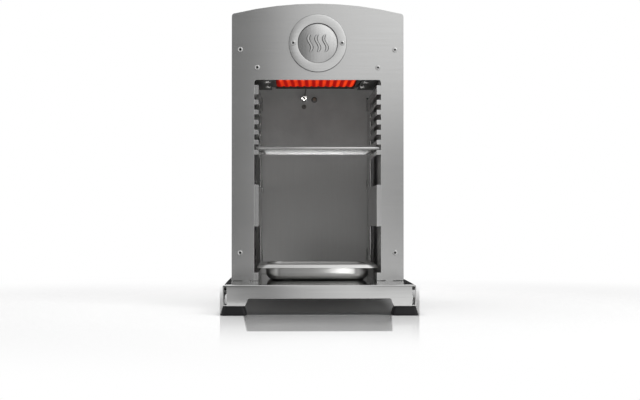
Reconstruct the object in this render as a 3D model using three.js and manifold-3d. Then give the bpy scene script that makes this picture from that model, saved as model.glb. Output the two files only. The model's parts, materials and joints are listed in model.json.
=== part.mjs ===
// Upright top-heat grill: a folded base on four feet, a cased body with a tall open cavity,
// an infrared burner in its roof, slotted rack plates, a grate, a pan and the gas controls at the back.
// Millimetres, +Z up. The front faces -Y. Depths are measured from the front panel's face, and the
// whole grill is centred over its own footprint at the end.

import * as THREE from 'three';
import { mergeVertices } from 'three/addons/utils/BufferGeometryUtils.js';
import Module from 'manifold-3d';

const wasm = await Module();
wasm.setup();

// Clearances and counts shared by every piece
const seatGap = 0.3;
const overrun = 6;
const snapStep = 1 / 1024;
const curveSteps = 4;
const cornerSteps = 3;
const holeSteps = 4;
const rodSides = 10;
const latheSides = 12;
const badgeSides = 32;
const knobSides = 24;
const hexSides = 6;
const barSides = 8;
const wireSides = 6;
const leadSides = 5;
const tubeSteps = 12;
const wireSteps = 8;
const leadSteps = 20;

// Sheet thicknesses
const panelSheet = 1.5;
const caseSheet = 1.2;
const rackSheet = 1.5;
const baseSheet = 1.5;

// Front panel and the arched outline that the casing follows
const overallHeight = 440;
const panelWidth = 247;
const archRise = 14;
const archCorner = 5.5;
const panelLift = 0.7;
const openingWidth = 182;
const openingTop = 330.2;
const openingCorner = 4;
const panelTabInner = 97.6;
const panelTabWidth = 10.4;

// Base tray
const baseTop = 41.5;
const baseWidth = 261;
const shelfDepth = 130;
const baseRearReach = 4.5;
const baseBend = 2.5;
const lipWidth = 250;
const lipBottom = 12.8;
const cornerReliefDrop = 2.5;
const gripTop = 23;
const gripTopWidth = 194.6;
const gripBottomWidth = 201.2;
const gripCorner = 3;
const gripFlangeWidth = 180;
const gripFlangeDepth = 12;
const sideArchTop = 25;
const sideArchEnd = 32;
const sideArchCorner = 8;
const footTabLength = 30;

// Feet
const footTopWidth = 29.4;
const footBottomWidth = 35.8;
const footRimHeight = 2.6;
const footRimStep = 0.6;
const footChamfer = 1;
const footCollarHeight = 1.9;
const footCorner = 4;
const footStudRadius = 3.7;
const footStudHeadRadius = 5.5;
const footStudHeadHeight = 2;
const footRecessRadius = 8;
const footRecessDepth = 3;

// Button-head screws
const screwShankRadius = 2;
const screwHeadRadius = 3.75;
const screwHeadHeight = 2.2;
const screwHeadRim = 0.5;
const screwSocketRadius = 1.35;
const screwSocketDepth = 1.3;
const panelScrewLength = 9;
const casingScrewOffset = 111;
const casingScrewLow = 81.9;
const casingScrewHigh = 373.6;
const burnerScrewOffset = 86.6;
const burnerScrewHeight = 347.9;

// Round badge
const badgeRadius = 41.5;
const badgeHoleRadius = 28.5;
const badgeThickness = 3.5;
const badgeEdge = 0.8;
const badgeHeight = 382.8;
const badgeScrewOffset = 35;
const badgeGroundRadius = 31;
const badgeGroundThickness = 1.2;

// Outer casing
const controlSpace = 49.8;
const casingInset = 0.9;
const casingFrontFlange = 17;
const casingRearFlange = 14;
const casingFootFlange = 12;
const roofVentCount = 7;
const roofVentPitch = 20;
const roofVentWidth = 5;
const roofVentLength = 70;
const roofVentRearMargin = 24;
const sideVentCount = 7;
const sideVentPitch = 14;
const sideVentHeight = 5;
const sideVentLength = 26;
const sideVentMiddle = 150;
const coverVentCount = 6;
const coverVentWidth = 90;
const coverVentPitch = 14;
const coverVentHeight = 5;
const coverVentMiddle = 335;
const coverScrewInset = 8;
const coverScrewLow = 84;
const coverScrewHigh = 396;

// Cavity: rack plates inside, liners outside them, back wall behind
const rackGauge = 170;
const rackTop = 322.7;
const rackFlange = 10.7;
const rackSlotCount = 6;
const rackSlotPitch = 14.42;
const rackSlotHeight = 7.8;
const rackTopSlotTop = 309.5;
const rackSlotDepth = 185;
const upperWindowTop = 222.9;
const upperWindowBottom = 179.5;
const lowerWindowTop = 119.6;
const lowerWindowBottom = 53.3;
const rackSpineStrip = 4.2;
const rackEarWidth = 16;
const rackEarTop = 358;
const rackEarBottom = 337;
const cavityDepth = 271;
const linerTop = 391.7;
const linerFrontFlange = 8.5;
const linerFootFlange = 10;
const backWallWidth = 214;
const backWallTop = 400;
const backWallReturn = 18;
const hookHeight = 20;
const hookReach = 3.5;
const hookPlay = 1;
const hookSlotSide = 0.75;
const hookMiddles = [316, 183.3, 71.1];
const hookFootIndex = 1;
const hookFootReach = 4.5;
const hookFootHeight = 7.5;

// Burner in the roof
const tileWidth = 126;
const tileThickness = 12;
const tileFront = 38;
const tileRearMargin = 39;
const tileRibCount = 10;
const tileRibDepth = 1.8;
const tileBearing = 2;
const frameSheet = 1.5;
const frameSide = 6.5;
const frameLip = 2.8;
const frameUnderside = 340.3;
const earLength = 22;
const earReach = 9;
const earFrontMargin = 76;
const earRearMargin = 36;
const plenumHeight = 42;
const plenumCorner = 10;
const plenumFlange = 4.5;
const railShelf = 25;
const railHeight = 20;
const railTabWidth = 16;
const boltRadius = 2.4;
const boltHeadRadius = 4.1;
const boltHeadHeight = 3;
const nutHeight = 3.6;
const shieldWidth = 208;
const shieldDrop = 8;
const shieldEndMargin = 3;

// Gas train behind the back wall
const tubeRadius = 11;
const tubeBore = 10;
const tubeHeight = 366;
const tubeBend = 17;
const tubeEntry = 8;
const trainSetback = 25.5;
const mixerRadius = 13.2;
const mixerHeight = 36;
const mixerOverlap = 4;
const mixerFloor = 2;
const mixerWindowWidth = 8;
const mixerWindowHeight = 14;
const mixerWindowRise = 6;
const injectorHexRadius = 7;
const injectorHexHeight = 11.5;
const injectorTipRadius = 4.6;
const injectorTipHeight = 6;
const injectorStubRadius = 4.4;
const injectorStubHeight = 9;
const pipeRise = 32.2;
const bracketSheet = 1.5;
const bracketWidth = 30;
const bracketDrop = 22;
const valveOffset = 45;
const valveHeight = 215;
const valveWidth = 28;
const valveDepth = 26;
const valveRise = 30;
const valveCorner = 4;
const valveBossRadius = 9;
const valveBossLength = 7;
const pipeRadius = 4;
const pipeBend = 10;
const spindleRadius = 4;
const spindleSeat = 16.8;
const knobRadius = 20;
const knobDepth = 20;
const knobStandOff = 6;
const knobTaperShare = 0.9;
const knobSkirtHeight = 3.5;
const knobGripCount = 12;
const knobGripRadius = 1.3;
const knobCap = 4;
const knobMarkWidth = 2;
const knobMarkDepth = 0.8;
const inletHeight = 105;
const inletBlock = 20;
const inletSleeveRadius = 8;
const inletNutRadius = 11;
const inletNutLength = 8;
const inletStubRadius = 6.6;
const inletStubLength = 12;
const inletBoreRadius = 3;
const inletTipShare = 0.85;

// Ignition and flame sensing
const igniterOffset = -45;
const igniterHeight = 215;
const igniterRadius = 8.5;
const igniterLength = 34;
const igniterBezelRadius = 12;
const igniterBezelThickness = 3;
const igniterNutLength = 6;
const igniterBore = 6.8;
const igniterBoreDepth = 18;
const buttonRadius = 6.4;
const buttonLength = 18;
const buttonProud = 7;
const buttonEdge = 1;
const insulatorRadius = 4;
const insulatorOffset = -17.1;
const insulatorHeight = 323.9;
const insulatorFront = 22;
const insulatorRear = 11;
const insulatorCollarRadius = 4.8;
const insulatorCollarLength = 3;
const wireRadius = 0.9;
const wireReach = 22;
const wireTipGap = 4;
const wireLean = 2.6;
const sensorOffset = -0.6;
const sensorHeight = 322.9;
const sensorCollarRadius = 4.8;
const sensorCollarLength = 5;
const sensorTipRadius = 2.2;
const sensorTipLength = 26;
const sensorRear = 4;
const leadRadius = 1.5;
const leadBend = 4;
const electrodeScrewHeight = 311.6;

// Grate and pan
const grateRodRadius = 2.5;
const grateBarRadius = 2;
const grateWidth = 179;
const grateInnerWidth = 156;
const grateLength = 162;
const grateFront = 8;
const grateBarCount = 14;
const grateSlotIndex = 5;
const panWidth = 176;
const panLength = 162;
const panHeight = 23.5;
const panSheet = 1;
const panRimDrop = 6;
const panRimFlare = 3.5;
const panRimFlange = 11;
const panRimEdge = 0.6;
const panRimCorner = 12;
const panBodyCorner = 22;
const panBottomCurve = 11;
const panFront = 8;

// Places that follow from the sizes above
const panelHalf = panelWidth / 2;
const archHalf = panelHalf - archCorner;
const archRadius = (archHalf ** 2 + archRise ** 2) / (2 * archRise);
const archCentre = overallHeight - archRadius;
const bodyFoot = baseTop + seatGap;
const frontLayer = panelSheet + seatGap;
const backWallBack = cavityDepth + panelSheet;
const trainDepth = backWallBack + trainSetback;
const coverFront = backWallBack + controlSpace;
const bodyDepth = coverFront + caseSheet;
const casingBack = coverFront - seatGap;
const baseBack = bodyDepth + baseRearReach;
const footHeight = lipBottom - seatGap;
const footCentreX = baseWidth / 2 - footTopWidth / 2;
const footFrontY = footTopWidth / 2 - shelfDepth;
const footRearY = baseBack - footTopWidth / 2;
const holeRadius = screwShankRadius + seatGap;
const rackInner = rackGauge / 2;
const rackFlangeEdge = rackInner + rackFlange;
const linerInner = rackFlangeEdge + seatGap;
const tileBottom = frameUnderside + frameSheet + seatGap;
const tileBack = cavityDepth - tileRearMargin;
const frameHalf = tileWidth / 2 + frameSide;
const plenumHalf = tileWidth / 2 + seatGap + caseSheet;
const plenumFront = tileFront - seatGap - caseSheet;
const plenumBack = tileBack + seatGap + caseSheet;
const railOuter = linerInner - seatGap - rackSheet - seatGap;
const railTop = frameUnderside - seatGap;
const boltX = frameHalf + earReach / 2;
const injectorFoot = valveHeight + pipeRise;
const injectorTop = injectorFoot + injectorStubHeight + injectorHexHeight;
const bracketTop = injectorFoot + injectorStubHeight - seatGap;
const mixerBottom = injectorTop + seatGap;
const tubeLowEnd = mixerBottom + mixerHeight - mixerOverlap;
const knobFront = bodyDepth + knobStandOff;
const rearmost = knobFront + knobDepth;
const spindleFront = trainDepth + valveDepth / 2 + valveBossLength - spindleSeat;
const spindleBack = rearmost - knobCap - seatGap;
const frontmost = footFrontY - footBottomWidth / 2;
const slotBottom = (index) => rackTopSlotTop - rackSlotHeight - index * rackSlotPitch;

// Materials
const metal = (color, roughness, metalness = 1) => (
  new THREE.MeshStandardMaterial({ color, roughness, metalness })
);
const brushedSteel = metal(0xb4b5b4, 0.36);
const darkSteel = metal(0x5c5b58, 0.45);
const polishedSteel = metal(0xc9cac9, 0.18);
const fastenerSteel = metal(0xd0d0ce, 0.25);
const brass = metal(0xb89a52, 0.35);
const copper = metal(0xb0683c, 0.35);
const ceramic = metal(0xe8e2d6, 0.7, 0);
const glowingCeramic = metal(0xe2481e, 0.8, 0);
const blackRubber = metal(0x1c1c1d, 0.75, 0);
const blackPlastic = metal(0x161617, 0.45, 0);

// Solids from three.js geometry, joined and cut. Corners snap to a fine step, so that faces meant to
// be flush are flush.
function toSolid(geometry) {
  const bare = geometry.clone();
  bare.deleteAttribute('normal');
  bare.deleteAttribute('uv');
  const places = bare.attributes.position.array;
  places.forEach((value, i) => {
    places[i] = Math.round(value / snapStep) * snapStep;
  });
  const merged = mergeVertices(bare);
  const corners = merged.index.array;
  const kept = [];
  for (let i = 0; i < corners.length; i += 3) {
    const [a, b, c] = corners.subarray(i, i + 3);
    if (a !== b && b !== c && c !== a) {
      kept.push(a, b, c);
    }
  }
  return new wasm.Manifold(new wasm.Mesh({
    numProp: 3,
    vertProperties: new Float32Array(merged.attributes.position.array),
    triVerts: new Uint32Array(kept),
  }));
}

function toGeometry(solid) {
  const mesh = solid.getMesh();
  const geometry = new THREE.BufferGeometry();
  geometry.setAttribute('position', new THREE.BufferAttribute(mesh.vertProperties, 3));
  geometry.setIndex(new THREE.BufferAttribute(mesh.triVerts, 1));
  geometry.computeVertexNormals();
  return geometry;
}

const join = (...solids) => wasm.Manifold.union(solids.flat());
const cut = (solid, ...cutters) => solid.subtract(join(...cutters));

// Extrusions: alongY draws in X and Z, alongX in Y and Z, alongZ in X and Y
function extrude(shape, length, steps) {
  return new THREE.ExtrudeGeometry(shape, { depth: length, bevelEnabled: false, curveSegments: steps });
}

function alongY(shape, from, to, steps = cornerSteps) {
  const geometry = extrude(shape, to - from, steps);
  geometry.rotateX(Math.PI / 2);
  geometry.translate(0, to, 0);
  return toSolid(geometry);
}

function alongX(shape, from, to, steps = cornerSteps) {
  const geometry = extrude(shape, to - from, steps);
  const turn = new THREE.Matrix4().makeBasis(
    new THREE.Vector3(0, 1, 0),
    new THREE.Vector3(0, 0, 1),
    new THREE.Vector3(1, 0, 0),
  );
  geometry.applyMatrix4(turn);
  geometry.translate(from, 0, 0);
  return toSolid(geometry);
}

function alongZ(shape, from, to, steps = cornerSteps) {
  const geometry = extrude(shape, to - from, steps);
  geometry.translate(0, 0, from);
  return toSolid(geometry);
}

// Outlines
function rectangle(x0, y0, x1, y1, radius = 0) {
  const shape = new THREE.Shape();
  shape.moveTo(x0 + radius, y0);
  shape.lineTo(x1 - radius, y0);
  if (radius) {
    shape.quadraticCurveTo(x1, y0, x1, y0 + radius);
  }
  shape.lineTo(x1, y1 - radius);
  if (radius) {
    shape.quadraticCurveTo(x1, y1, x1 - radius, y1);
  }
  shape.lineTo(x0 + radius, y1);
  if (radius) {
    shape.quadraticCurveTo(x0, y1, x0, y1 - radius);
  }
  shape.lineTo(x0, y0 + radius);
  if (radius) {
    shape.quadraticCurveTo(x0, y0, x0 + radius, y0);
  }
  return shape;
}

function domedRectangle(x0, y0, x1, y1, radius) {
  const shape = new THREE.Shape();
  shape.moveTo(x0, y0);
  shape.lineTo(x1, y0);
  shape.lineTo(x1, y1 - radius);
  shape.quadraticCurveTo(x1, y1, x1 - radius, y1);
  shape.lineTo(x0 + radius, y1);
  shape.quadraticCurveTo(x0, y1, x0, y1 - radius);
  return shape;
}

function disc(x, y, radius) {
  const shape = new THREE.Shape();
  shape.absarc(x, y, radius, 0, 2 * Math.PI);
  return shape;
}

// A hole's flats clear the shaft's own radius
const hole = (x, y, radius) => disc(x, y, radius / Math.cos(Math.PI / (2 * holeSteps)));

function archOutline(inset, bottom) {
  const half = panelHalf - inset;
  const radius = archRadius - inset;
  const corner = Math.max(archCorner - inset, seatGap);
  const shoulderX = half - corner;
  const shoulderZ = archCentre + Math.sqrt(radius ** 2 - shoulderX ** 2);
  const start = Math.acos(shoulderX / radius);
  const shape = new THREE.Shape();
  shape.moveTo(-half, bottom);
  shape.lineTo(half, bottom);
  shape.lineTo(half, shoulderZ - corner);
  shape.quadraticCurveTo(half, shoulderZ, shoulderX, shoulderZ);
  shape.absarc(0, archCentre, radius, start, Math.PI - start, false);
  shape.quadraticCurveTo(-half, shoulderZ, -half, shoulderZ - corner);
  return shape;
}

// Holes through a sheet that stands across Y, given as X and Z pairs
const drill = (places, radius, from, to) => (
  places.map(([x, z]) => alongY(hole(x, z, radius), from, to, holeSteps))
);

const bothSides = (x, ...heights) => heights.flatMap((z) => [[-x, z], [x, z]]);

const spread = (count, pitch, make) => (
  Array.from({ length: count }, (_, i) => make((i - (count - 1) / 2) * pitch))
);

function mirrored(solid, side) {
  return side < 0 ? solid.mirror([1, 0, 0]) : solid;
}

// A turned piece about Z from radius and height pairs, bottom to top on the outside
function turned(profile, sides = latheSides) {
  const points = profile.map(([radius, height]) => new THREE.Vector2(radius, height));
  const geometry = new THREE.LatheGeometry(points, sides);
  geometry.rotateX(Math.PI / 2);
  return toSolid(geometry);
}

function turnedRing(profile, sides = latheSides) {
  return turned([...profile, profile[0]], sides);
}

const backward = (solid) => solid.rotate([-90, 0, 0]);
const forward = (solid) => solid.rotate([90, 0, 0]);

// A round rod or tube along a route with rounded bends
function bentTube(places, bend, radius, steps, sides = rodSides, bore = 0) {
  const points = places.map((place) => new THREE.Vector3(...place));
  const route = new THREE.CurvePath();
  let from = points[0];
  for (let i = 1; i < points.length - 1; i += 1) {
    const corner = points[i];
    const into = corner.clone().sub(points[i - 1]).normalize();
    const out = points[i + 1].clone().sub(corner).normalize();
    const before = corner.clone().addScaledVector(into, -bend);
    const after = corner.clone().addScaledVector(out, bend);
    route.add(new THREE.LineCurve3(from, before));
    route.add(new THREE.QuadraticBezierCurve3(before, corner, after));
    from = after;
  }
  route.add(new THREE.LineCurve3(from, points.at(-1)));
  const section = disc(0, 0, radius);
  if (bore) {
    section.holes.push(disc(0, 0, bore));
  }
  return toSolid(new THREE.ExtrudeGeometry(section, {
    steps, extrudePath: route, curveSegments: Math.ceil(sides / 2),
  }));
}

function rod(from, to, radius, sides = rodSides) {
  const route = new THREE.LineCurve3(new THREE.Vector3(...from), new THREE.Vector3(...to));
  const settings = { steps: 1, extrudePath: route, curveSegments: sides / 2 };
  return toSolid(new THREE.ExtrudeGeometry(disc(0, 0, radius), settings));
}

// One ring of a loft: a rectangle with round corners at one height
function roundedRing(halfX, halfY, radius, height, steps = cornerSteps + 1) {
  const ring = [];
  const quarter = Math.PI / 2;
  for (let corner = 0; corner < 4; corner += 1) {
    const centreX = (corner === 0 || corner === 3 ? 1 : -1) * (halfX - radius);
    const centreY = (corner < 2 ? 1 : -1) * (halfY - radius);
    for (let step = 0; step <= steps; step += 1) {
      const angle = quarter * (corner + step / steps);
      const x = centreX + radius * Math.cos(angle);
      const y = centreY + radius * Math.sin(angle);
      ring.push(new THREE.Vector3(x, y, height));
    }
  }
  return ring;
}

// Skins rings from the lowest outside to the last inside, and closes both ends with a fan
function loft(rings) {
  const count = rings[0].length;
  const positions = [];
  const index = [];
  rings.forEach((ring) => ring.forEach((point) => positions.push(point.x, point.y, point.z)));
  for (let level = 0; level + 1 < rings.length; level += 1) {
    for (let i = 0; i < count; i += 1) {
      const next = (i + 1) % count;
      const low = level * count;
      const high = low + count;
      index.push(low + i, low + next, high + next, low + i, high + next, high + i);
    }
  }
  const last = (rings.length - 1) * count;
  positions.push(0, 0, rings[0][0].z, 0, 0, rings.at(-1)[0].z);
  const firstHub = rings.length * count;
  for (let i = 0; i < count; i += 1) {
    const next = (i + 1) % count;
    index.push(firstHub, next, i, firstHub + 1, last + i, last + next);
  }
  const geometry = new THREE.BufferGeometry();
  geometry.setAttribute('position', new THREE.Float32BufferAttribute(positions, 3));
  geometry.setIndex(index);
  return toSolid(geometry);
}

// The assembly, one mesh per piece
const grill = new THREE.Group();

function place(parent, name, solid, material, x = 0, y = 0, z = 0) {
  const mesh = new THREE.Mesh(toGeometry(solid), material);
  mesh.name = name;
  mesh.position.set(x, y, z);
  parent.add(mesh);
}

// Base: one folded sheet with a front lip, side flanges and corner tabs for the feet
function baseSolid() {
  const half = baseWidth / 2;
  const folded = (inset, drop) => {
    const radius = baseBend - inset;
    const across = domedRectangle(inset - half, lipBottom - drop, half - inset, baseTop - inset, radius);
    const along = domedRectangle(
      inset - shelfDepth, lipBottom - drop, baseBack - inset, baseTop - inset, radius,
    );
    return alongY(across, -shelfDepth, baseBack).intersect(alongX(along, -half, half));
  };
  const tray = folded(0, 0).subtract(folded(baseSheet, overrun));
  return join(cut(tray, baseCutters()), gripFlange(), footTabs());
}

function baseCutters() {
  const half = baseWidth / 2;
  const low = lipBottom - overrun;
  const reliefTop = baseTop - cornerReliefDrop;
  const relief = (x, y) => alongZ(
    rectangle(x, y - baseBend - baseSheet, x + half - baseSheet - lipWidth / 2, y + baseBend + baseSheet),
    low,
    reliefTop,
  );
  const reliefs = [-shelfDepth, baseBack].flatMap((y) => [
    relief(lipWidth / 2, y), relief(baseSheet - half, y),
  ]);
  const arch = domedRectangle(
    sideArchEnd - shelfDepth, low, baseBack - sideArchEnd, sideArchTop, sideArchCorner,
  );
  const tabSlot = (x) => alongZ(
    rectangle(x - seatGap, -seatGap, x + panelTabWidth + seatGap, panelSheet + seatGap),
    reliefTop - overrun,
    baseTop + overrun,
  );
  return [
    ...reliefs,
    alongX(arch, -half - overrun, half + overrun),
    alongY(gripOutline(), -shelfDepth - overrun, baseBend - shelfDepth),
    tabSlot(panelTabInner),
    tabSlot(-panelTabInner - panelTabWidth),
  ];
}

function gripOutline() {
  const top = gripTopWidth / 2;
  const bottom = gripBottomWidth / 2;
  const shape = new THREE.Shape();
  shape.moveTo(-bottom, lipBottom - seatGap);
  shape.lineTo(bottom, lipBottom - seatGap);
  shape.lineTo(top, gripTop - gripCorner);
  shape.quadraticCurveTo(top, gripTop, top - gripCorner, gripTop);
  shape.lineTo(gripCorner - top, gripTop);
  shape.quadraticCurveTo(-top, gripTop, -top, gripTop - gripCorner);
  return shape;
}

function gripFlange() {
  const half = gripFlangeWidth / 2;
  const outline = rectangle(-half, -shelfDepth, half, gripFlangeDepth - shelfDepth);
  return alongZ(outline, gripTop, gripTop + baseSheet);
}

function footTabs() {
  const outer = baseWidth / 2;
  const reach = outer - footTopWidth;
  const tab = (x0, x1, y0) => cut(
    alongZ(rectangle(x0, y0, x1, y0 + footTabLength), lipBottom, lipBottom + baseSheet),
    alongZ(
      hole(Math.sign(x0) * footCentreX, y0 < 0 ? footFrontY : footRearY, footStudRadius + seatGap),
      lipBottom - overrun,
      lipBottom + overrun,
      holeSteps,
    ),
  );
  const front = baseSheet + seatGap - shelfDepth;
  const rear = baseBack - baseSheet - seatGap - footTabLength;
  return [front, rear].flatMap((y) => [tab(reach, outer, y), tab(-outer, -reach, y)]);
}

// Foot: a flared block with a stepped rim, pushed on by a headed stud
function footSolid() {
  const top = footTopWidth / 2;
  const bottom = footBottomWidth / 2;
  const ring = (half, height) => roundedRing(half, half, footCorner, height, 2);
  const block = loft([
    ring(bottom - footChamfer, 0),
    ring(bottom, footChamfer),
    ring(bottom, footRimHeight),
    ring(bottom - footRimStep, footRimHeight),
    ring(top + footRimStep, footHeight - footCollarHeight),
    ring(top, footHeight - footCollarHeight),
    ring(top, footHeight),
  ]);
  const neck = lipBottom + baseSheet + seatGap;
  const stud = turned([
    [0, footHeight - footChamfer],
    [footStudRadius, footHeight - footChamfer],
    [footStudRadius, neck],
    [footStudHeadRadius, neck],
    [footStudRadius, neck + footStudHeadHeight],
    [0, neck + footStudHeadHeight],
  ], rodSides);
  const recess = alongZ(disc(0, 0, footRecessRadius), -overrun, footRecessDepth, holeSteps);
  return cut(join(block, stud), recess);
}

// Front panel: arched sheet with the opening, screw holes and two tabs into the base
function panelSolid() {
  const bottom = baseTop + panelLift;
  const half = openingWidth / 2;
  const opening = domedRectangle(-half, bottom - overrun, half, openingTop, openingCorner);
  const tab = (x) => alongY(
    rectangle(x, baseTop - baseSheet, x + panelTabWidth, bottom + seatGap), 0, panelSheet,
  );
  const holes = [
    ...bothSides(casingScrewOffset, casingScrewLow, casingScrewHigh),
    ...bothSides(burnerScrewOffset, burnerScrewHeight),
    ...bothSides(badgeScrewOffset, badgeHeight),
  ];
  const sheet = cut(
    alongY(archOutline(0, bottom), 0, panelSheet, curveSteps),
    alongY(opening, -overrun, panelSheet + overrun),
    ...drill(holes, holeRadius, -overrun, panelSheet + overrun),
  );
  return join(sheet, tab(panelTabInner), tab(-panelTabInner - panelTabWidth));
}

// Button-head screw along -Y, its seat at the origin and its shank running back
function screwSolid(length) {
  const head = turned([
    [0, -length],
    [screwShankRadius, -length],
    [screwShankRadius, 0],
    [screwHeadRadius, 0],
    [screwHeadRadius, screwHeadRim],
    [screwHeadRadius * Math.cos(Math.PI / 6), (screwHeadHeight + screwHeadRim) / 2],
    [screwHeadRadius / 2, screwHeadHeight],
    [0, screwHeadHeight],
  ], rodSides);
  const socketTop = screwHeadHeight + seatGap;
  const socket = turned([
    [0, screwHeadHeight - screwSocketDepth],
    [screwSocketRadius, screwHeadHeight - screwSocketDepth],
    [screwSocketRadius, socketTop],
    [0, socketTop],
  ], hexSides);
  return forward(cut(head, socket));
}

// Badge: a bevelled ring round a recessed bare ground
function badgeRing() {
  const step = badgeGroundThickness + seatGap;
  const rebate = badgeGroundRadius + seatGap;
  const ring = turnedRing([
    [rebate, 0],
    [badgeRadius, 0],
    [badgeRadius, badgeThickness - badgeEdge],
    [badgeRadius - badgeEdge, badgeThickness],
    [badgeHoleRadius + badgeEdge, badgeThickness],
    [badgeHoleRadius, badgeThickness - badgeEdge],
    [badgeHoleRadius, step],
    [rebate, step],
  ], badgeSides);
  const holes = drill(bothSides(badgeScrewOffset, 0), holeRadius, -badgeThickness - overrun, overrun);
  return cut(forward(ring), ...holes);
}

// Outer casing: one wrapped sheet with flanges at the front, rear and foot, and its vents
function casingSolid() {
  const skin = (inset, from, to) => alongY(archOutline(inset, bodyFoot), from, to, curveSteps);
  const hollow = (inset, from, to) => (
    alongY(archOutline(inset, bodyFoot - overrun), from, to, curveSteps)
  );
  const inner = casingInset + caseSheet;
  const frontFlangeBack = frontLayer + caseSheet;
  const rearFlangeFront = casingBack - caseSheet;
  const wrap = cut(
    skin(casingInset, frontLayer, casingBack),
    hollow(inner, frontFlangeBack, rearFlangeFront),
    hollow(casingInset + casingFrontFlange, frontLayer - overrun, frontFlangeBack + overrun),
    hollow(casingInset + casingRearFlange, rearFlangeFront - overrun, casingBack + overrun),
  );
  const edge = panelHalf - casingInset;
  const footFlange = (side) => mirrored(
    alongZ(
      rectangle(edge - casingFootFlange, frontLayer, edge, casingBack), bodyFoot, bodyFoot + caseSheet,
    ),
    side,
  );
  const frontHoles = bothSides(casingScrewOffset, casingScrewLow, casingScrewHigh);
  return cut(
    join(wrap, footFlange(1), footFlange(-1)),
    ...drill(frontHoles, holeRadius, frontLayer - overrun, frontFlangeBack + overrun),
    ...drill(coverScrewPlaces(), holeRadius, rearFlangeFront - overrun, casingBack + overrun),
    ...roofVents(),
    ...sideVents(),
  );
}

function roofVents() {
  const back = casingBack - roofVentRearMargin;
  return spread(roofVentCount, roofVentPitch, (x) => alongZ(
    rectangle(
      x - roofVentWidth / 2, back - roofVentLength, x + roofVentWidth / 2, back, roofVentWidth / 2,
    ),
    backWallTop,
    overallHeight + overrun,
    1,
  ));
}

function sideVents() {
  const middle = (backWallBack + casingBack) / 2;
  return spread(sideVentCount, sideVentPitch, (rise) => {
    const z = sideVentMiddle + rise;
    const slot = rectangle(
      middle - sideVentLength / 2,
      z - sideVentHeight / 2,
      middle + sideVentLength / 2,
      z + sideVentHeight / 2,
      sideVentHeight / 2,
    );
    return alongX(slot, -panelHalf - overrun, panelHalf + overrun, 1);
  });
}

function coverScrewPlaces() {
  const x = panelHalf - casingInset - coverScrewInset;
  return bothSides(x, coverScrewLow, coverScrewHigh);
}

// Rear cover: flat sheet with a louvre block and holes for the controls
function coverSolid() {
  const from = coverFront - overrun;
  const to = bodyDepth + overrun;
  const louvres = spread(coverVentCount, coverVentPitch, (rise) => {
    const z = coverVentMiddle + rise;
    const outline = rectangle(
      -coverVentWidth / 2,
      z - coverVentHeight / 2,
      coverVentWidth / 2,
      z + coverVentHeight / 2,
      coverVentHeight / 2,
    );
    return alongY(outline, from, to, 1);
  });
  return cut(
    alongY(archOutline(casingInset, bodyFoot), coverFront, bodyDepth, curveSteps),
    ...louvres,
    ...drill(coverScrewPlaces(), holeRadius, from, to),
    ...drill([[valveOffset, valveHeight]], spindleRadius + seatGap, from, to),
    ...drill([[igniterOffset, igniterHeight]], igniterRadius + seatGap, from, to),
    ...drill([[valveOffset, inletHeight]], inletSleeveRadius + seatGap, from, to),
  );
}

// Rack plate: a slotted web with a notched front flange, an ear for the burner screw and rear hooks
function rackSolid() {
  const back = cavityDepth - seatGap;
  const webFront = frontLayer + rackSheet;
  const web = alongX(
    rectangle(frontLayer, bodyFoot, back, rackTop), rackInner, rackInner + rackSheet,
  );
  const flange = alongY(
    rectangle(rackInner, bodyFoot, rackFlangeEdge, rackTop), frontLayer, webFront,
  );
  const stripInner = rackFlangeEdge - rackSpineStrip;
  const strip = alongY(
    rectangle(stripInner, rackTop - overrun, rackFlangeEdge, rackEarBottom + overrun), frontLayer, webFront,
  );
  const ear = alongY(
    rectangle(rackFlangeEdge - rackEarWidth, rackEarBottom, rackFlangeEdge, rackEarTop, rackSpineStrip),
    frontLayer,
    webFront,
  );
  const hooks = hookMiddles.map((z) => alongX(
    rectangle(
      back - overrun, z - hookHeight / 2, cavityDepth + hookReach, Math.min(z + hookHeight / 2, rackTop),
    ),
    rackInner,
    rackInner + rackSheet,
  ));
  return cut(
    join(web, flange, strip, ear, ...hooks),
    ...rackOpenings(stripInner),
    ...drill([[burnerScrewOffset, burnerScrewHeight]], holeRadius, frontLayer - overrun, webFront + overrun),
  );
}

function rackOpenings(outer) {
  const openings = [
    [upperWindowBottom, upperWindowTop],
    [lowerWindowBottom, lowerWindowTop],
  ];
  for (let i = 0; i < rackSlotCount; i += 1) {
    openings.push([slotBottom(i), slotBottom(i) + rackSlotHeight]);
  }
  return openings.map(([low, high]) => alongX(
    rectangle(frontLayer - overrun, low, rackSlotDepth, high),
    rackInner - overrun,
    outer,
  ));
}

// Liner: the cavity's outer side wall, flanged at the front and foot, hooked into the back wall
function linerSolid() {
  const back = cavityDepth - seatGap;
  const outer = linerInner + caseSheet;
  const web = alongX(rectangle(frontLayer, bodyFoot, back, linerTop), linerInner, outer);
  const flange = alongY(
    rectangle(linerInner, bodyFoot, linerInner + linerFrontFlange, linerTop),
    frontLayer,
    frontLayer + caseSheet,
  );
  const footFront = frontLayer + caseSheet + seatGap;
  const foot = alongZ(
    rectangle(linerInner, footFront, outer + linerFootFlange, back), bodyFoot, bodyFoot + caseSheet,
  );
  const hooks = hookMiddles.map((z) => alongX(
    rectangle(back - overrun, z - hookHeight / 2, cavityDepth + hookReach, z + hookHeight / 2),
    linerInner,
    outer,
  ));
  return join(web, flange, foot, ...hooks);
}

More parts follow.
